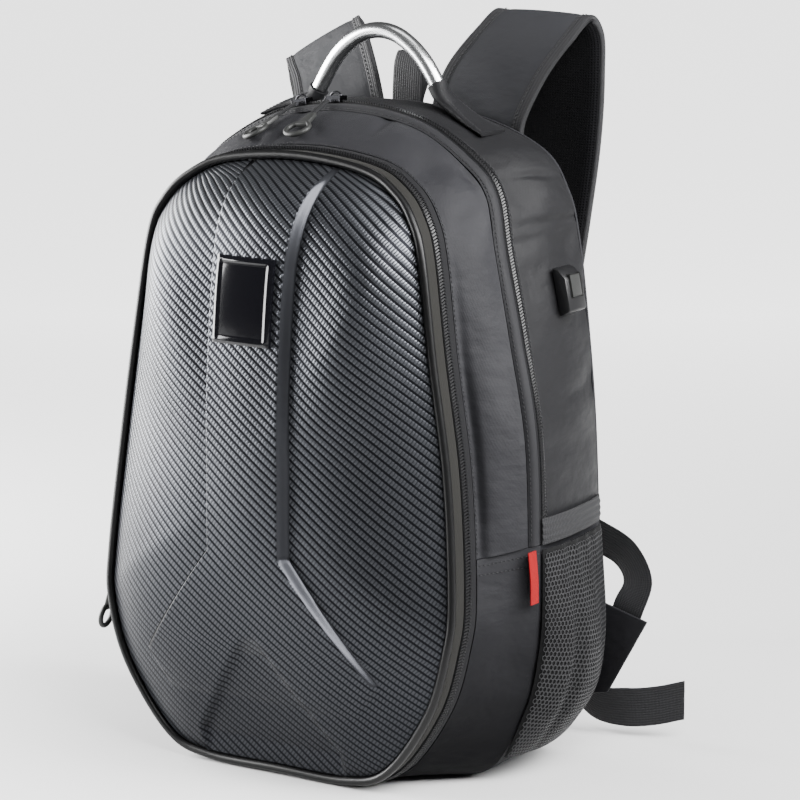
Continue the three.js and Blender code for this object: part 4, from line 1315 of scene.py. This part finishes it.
def make_webbing(side):
    name = SIDE_NAMES[side]
    run = [
        (66, 111.1, 178, 0, 0, 13), (104, 110.6, 174, 2, 0, 13), (150, 106, 162, 4, 0, 12),
        (182, 101, 151, 8, 0, 9), (197, 93, 134, 12, 0, 2), (194, 86, 117, 12, 0, -3),
        (189, 84.6, 102, 12, 0, -3),
    ]
    tail = [
        (82, 117.8, 192, 13, 0, 0), (85, 118.6, 170, 13, 0, 1), (96, 127, 136, 13, 0, 3),
        (106, 134, 90, 13, -2, 4), (116, 138, 45, 12, -4, 8), (134, 138, 24, 6, -3, 13),
        (160, 140, 22, 1, 0, 15), (182, 146, 25, 0, 0, 15), (203, 153, 31, 0, 0, 15),
    ]
    turn = np.array([side, 1, 1, 1, side, side])
    webbing = band(f"side_webbing_{name}", np.array(run) * turn, 1.8, [WEBBING])
    finish_piece(webbing, "webbing", f"webbing_{name}")
    loose = band(f"loose_end_{name}", np.array(tail) * turn, 1.8, [WEBBING])
    finish_piece(loose, "webbing", f"web_tail_{name}")
    outline = [(side * x, z) for x, z in ((150, 44), (179, 50), (212, 108), (174, 118))]
    axes = ((1, 0, 0), (0, 0, 1), (0, 1, 0))
    tab = outline_piece(f"side_tab_{name}", outline, 3, (0, 79.4, 0), axes, 0.9, [NYLON])
    finish_piece(tab, "nylon", f"web_tab_{name}")


def make_handle():
    half = [(49, 496), (44, 504), (37, 513), (27, 522), (14, 529.5), (0, 532)]
    points = [(-54.9, 486)] + [(-x, z) for x, z in half] + half[-2::-1]
    path = through([(x, HANDLE_Y, z) for x, z in points], 90)
    finish_piece(tube("handle_bar", path, 6, [ALUMINIUM], 28), "metal", "handle_tube")
    for side in (1, -1):
        make_sleeve(side)


def make_sleeve(side):
    """A cloth sleeve over the end of the handle, widening to a flat stitched foot."""
    name = SIDE_NAMES[side]

    def foot(place, lift):
        return rear_face(12 + side * (place - 12), 0.52, lift)

    if side > 0:
        top, end = [(49.25, 495.6), (54, 487.5)], [foot(11.05, 6.4), foot(10.75, 3.7), foot(10.45, 2.4)]
    else:
        top, end = [(-55.4, 485.2), (-59.2, 479.6)], [foot(10.75, 5.2), foot(10.45, 4.2)]
    path = through([(x, HANDLE_Y, z) for x, z in top] + end, 60)
    t = np.linspace(0, 1, 60)[:, None]
    wide = np.array([0.0, 1.0, 0.0])
    high = unit(np.cross(unit(np.gradient(path, axis=0)), wide))
    spread = 7.5 * (1 + 1.1 * t * t)
    flat = 7.5 - 5.9 * t
    power = (1 - 0.35 * t)[..., None]
    turn = np.linspace(0, 2 * np.pi, 40, endpoint=False)[None, :, None]
    cos, sin = squared(np.cos(turn), power), squared(np.sin(turn), power)
    rings = path[:, None] + wide * spread[..., None] * cos + high[:, None] * flat[..., None] * sin
    sleeve = ring_body(f"handle_cloth_{name}", rings, [NYLON_REAR])
    finish_piece(sleeve, "nylon", f"handle_sleeve_{name}")
    up = high if (high[30] @ np.array([side, 0, 1])) > 0 else -high
    rows = []
    for edge in (-1, 1):
        line = path + wide * edge * (spread - 2.6) + up * (flat * 0.72)
        rows.append(stitch_path(f"sleeve_stitch_{name}", line[6:57], up[6:57], 2.9))
    finish_piece(joined(f"sleeve_stitches_{name}", rows), "nylon")


def make_port_hood():
    """The charging port's hood: a block with a sloped top and bottom and rounded edges."""
    width, height, out = 19, 36, 9.5
    place, lifted = (rear_face(PORT_PLACE, 0.56, lift).reshape(3) for lift in (0.6, 1.6))
    face_out = unit(lifted - place)
    across = np.array([0.0, 1.0, 0.0])
    across = unit(across - face_out * (across @ face_out))
    up = -np.cross(across, face_out)
    outline = [
        (-height / 2, 0), (height / 2, 0), (height / 2 - 2, out * 0.55), (height / 2 - 9, out + 1),
        (-height / 2 + 3, out + 1),
    ]
    corner = place - across * (width / 2 + 1)
    hood = outline_piece("port_hood", outline, width + 2, corner, (up, face_out, across), 1.5, [PLASTIC])
    lip_centre = place + up * 3 + face_out * (out + 1.1)
    lip = box_piece("port_lip", lip_centre, (width - 7, 1.6, 16), (across, face_out, up), 0.7, [GRIP])
    finish_piece(joined("port_hood", [hood, lip]), "plastic", "usb_hood")


def make_red_tab():
    """A folded red tab of woven tape, its fold toward the front."""
    rows = []
    for place, lift in ((4.86, 7.7), (5.09, 7.2), (5.31, 5.3)):
        seam = wrap_face(place, 0.24).reshape(3)
        rows.append((seam[0] + lift, seam[1] - 1, seam[2], 0, 5, 0))
    tab = band("red_fold_tab", rows, 1.4, [RED], 40, 13)
    finish_piece(tab, "red_cloth", "red_tab")


def make_slider(name, place, on_main, hang_from, hang_to, length):
    """A zip slider with its looped cord, moulded grip and finger ring, placed in the slider's own axes."""
    line = main_line if on_main else moved(piping_line, 2.5, 19)
    following = coil_back if on_main else zip_edge
    share = 0.5 if on_main else 0.1
    centre = line(place) * (1 - share) + following(place) * share
    along = unit(line(place + 0.1) - line(place - 0.1))
    across = unit(following(place) - line(place))
    out = unit(np.cross(across, along))
    across = np.cross(out, along)
    axes = (along, across, out)
    at = centre + out * (3.5 if on_main else 4.7)
    blocks = (("plate", -1.2, (12.5, 8.8, 1.4), 0.6), ("plate", 0.9, (12.5, 8.4, 1.4), 0.6),
              ("post", 0, (3, 5, 2.6), 0.5))
    plates = [box_piece(part, at + out * lift, size, axes, bevel, [DARK_METAL])
              for part, lift, size, bevel in blocks]
    turn = np.linspace(0, np.pi, 16)
    bridge = at + out * 1.4 + np.outer(np.cos(turn) * 4.6, along) + np.outer(np.sin(turn) * 3.4, out)
    plates.append(tube("bridge", bridge, 0.9, [DARK_METAL], 10, up=across))
    finish_piece(joined(f"{name}_slider_body", plates), "plastic", f"{name}_slider")
    ends = (at + sum(step * axis for step, axis in zip(steps, axes)) for steps in (hang_from, hang_to))
    make_pull(name, *ends, out, length)


def make_pull(name, top, bottom, out, length):
    """A doubled cord, a tapered grip and a finger ring, hanging from one point toward another."""
    up = unit(top - bottom)
    side = unit(np.cross(up, out))
    face = unit(np.cross(side, up))
    parts = []
    cord_end = length * 0.42
    ring_radius = 8.2
    grip_end = length - 2 * ring_radius + 1
    for shift in (-1.3, 1.3):
        path = [top + side * shift + face * 0.5 - up * k * cord_end for k in np.linspace(0, 1, 12)]
        parts.append(tube("cord", path, 1.15, [CORD], 10, up=face))
    high, low = 1.5 - cord_end, -grip_end - 2.5
    outline = [(-3.2, high), (3.2, high), (5.4, low), (-5.4, low)]
    parts.append(outline_piece("grip", outline, 3.2, top - face * 1.6, (side, up, face), 0.7, [GRIP]))
    turn = np.linspace(0, 2 * np.pi, 48, endpoint=False)
    centre = top - up * (length - ring_radius)
    wide, tall = np.cos(turn) * (ring_radius + 1.2), np.sin(turn) * ring_radius
    ring = centre + np.outer(wide, side) + np.outer(tall, up)
    parts.append(tube("ring", ring, 1.95, [GRIP], 12, True, up=face))
    finish_piece(joined(f"{name}_pull_grip", parts), "grip", f"{name}_pull")


def make_sliders():
    make_slider("main_zip_a", 12.3, True, (2.5, 8.1, -1.8), (4.9, 44.4, -21.4), 48)
    make_slider("main_zip_b", 12.78, True, (1.1, 8, -1.2), (17.9, 45.4, -17.9), 48)
    make_slider("front_zip_a", 18.95, False, (-7.7, -2, 2.6), (-44.1, -18, 8), 30)
    make_slider("front_zip_b", 19.28, False, (7.4, -0.9, 2.4), (74.1, -3, 11.5), 46)


make_camera()
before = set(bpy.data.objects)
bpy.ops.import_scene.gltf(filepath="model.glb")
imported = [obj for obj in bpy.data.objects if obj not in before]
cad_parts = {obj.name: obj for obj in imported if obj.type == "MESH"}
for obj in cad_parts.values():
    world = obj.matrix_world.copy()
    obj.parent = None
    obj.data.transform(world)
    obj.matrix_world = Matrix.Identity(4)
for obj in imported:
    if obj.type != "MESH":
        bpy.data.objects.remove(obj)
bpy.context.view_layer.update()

SMALL_SHAPES = []
ROW_TREE = make_row_tree()
TOOTH = make_tooth("zip_tooth", 2.9, 1.25, 1.5, 1.3)
STITCH = make_stitch("one_stitch", 2.5, 0.7)
NET_CELL = make_net_cell("net_cell", 3.6, 3.1, 0.42)

SHELL_TWILL = embossed_shell()
SHELL_BEVEL = smooth_shell("shell_bevel", (0.03, 0.031, 0.035), 0.7)
# Painted shade: a near-black strip on the left slope of the raised middle.
SHELL_GROOVE_SHADE = smooth_shell("shell_groove_shade", (0.001, 0.001, 0.0012), 0)
PLAQUE = plaque_gloss()
RUBBER = satin_rubber("piping_rubber", (0.0025, 0.0025, 0.0027), 0.34)
RIM_WEAVE = woven("rim_weave", (0.005, 0.0049, 0.0044), (0.015, 0.0145, 0.013), 1.1, 0.2)
ZIP_TAPE = woven("zip_tape", (0.0025, 0.0025, 0.003), (0.008, 0.008, 0.009), 0.9, 0.15)
ZIP_TEETH = moulded_plastic("zip_teeth", (0.006, 0.006, 0.0065), 0.34)
NYLON = bag_nylon("body_nylon", (0.0115, 0.0115, 0.013), (0.016, 0.016, 0.018))
NYLON_REAR = bag_nylon("rear_nylon", (0.0065, 0.0065, 0.0072), (0.009, 0.009, 0.0098), 0.46)
STRAP_NYLON = bag_nylon("strap_nylon", (0.013, 0.0133, 0.015), (0.016, 0.0163, 0.018), 0.58)
FLAP_WEAVE = woven("flap_weave", (0.006, 0.006, 0.007), (0.016, 0.016, 0.0175), 1.2, 0.15, 0.6, 45)
MESH = spacer_mesh("padding_mesh", (0.0008, 0.0008, 0.001), (0.004, 0.004, 0.0045))
NET_BACK = woven("pocket_lining", (0.0012, 0.0012, 0.0014), (0.003, 0.003, 0.0033), 0.8, 0.1)
NET_THREAD = moulded_plastic("net_thread", (0.014, 0.014, 0.015), 0.5)
WEBBING = ribbed_webbing("strap_webbing", (0.006, 0.006, 0.0065), (0.016, 0.016, 0.0175))
RED = woven("red_weave", (0.13, 0.001, 0.002), (0.21, 0.002, 0.004), 1.0, 0.15, 0.7)
ALUMINIUM = brushed_metal("handle_aluminium", (0.62, 0.63, 0.64), 0.24)
DARK_METAL = brushed_metal("slider_metal", (0.03, 0.03, 0.033), 0.2)
PLASTIC = moulded_plastic("buckle_plastic", (0.006, 0.006, 0.0065), 0.34)
GRIP = satin_rubber("grip_rubber", (0.018, 0.0185, 0.018), 0.4)
CORD = woven("cord_braid", (0.005, 0.005, 0.0055), (0.012, 0.012, 0.013), 0.9, 0.1)
THREAD = moulded_plastic("sewing_thread", (0.012, 0.012, 0.013), 0.6)

make_studio()
make_floor()
make_shell()
make_plaque()
make_front_zip()
make_upper_body()
make_wrap()
make_back()
for side in (1, -1):
    make_pocket(side)
    make_adjuster(side)
    make_webbing(side)
make_strap(STRAP_RIGHT, "right")
make_strap(STRAP_LEFT, "left")
make_hang_loop()
make_handle()
make_port_hood()
make_red_tab()
make_sliders()
for shape in SMALL_SHAPES:
    bpy.data.objects.remove(shape)
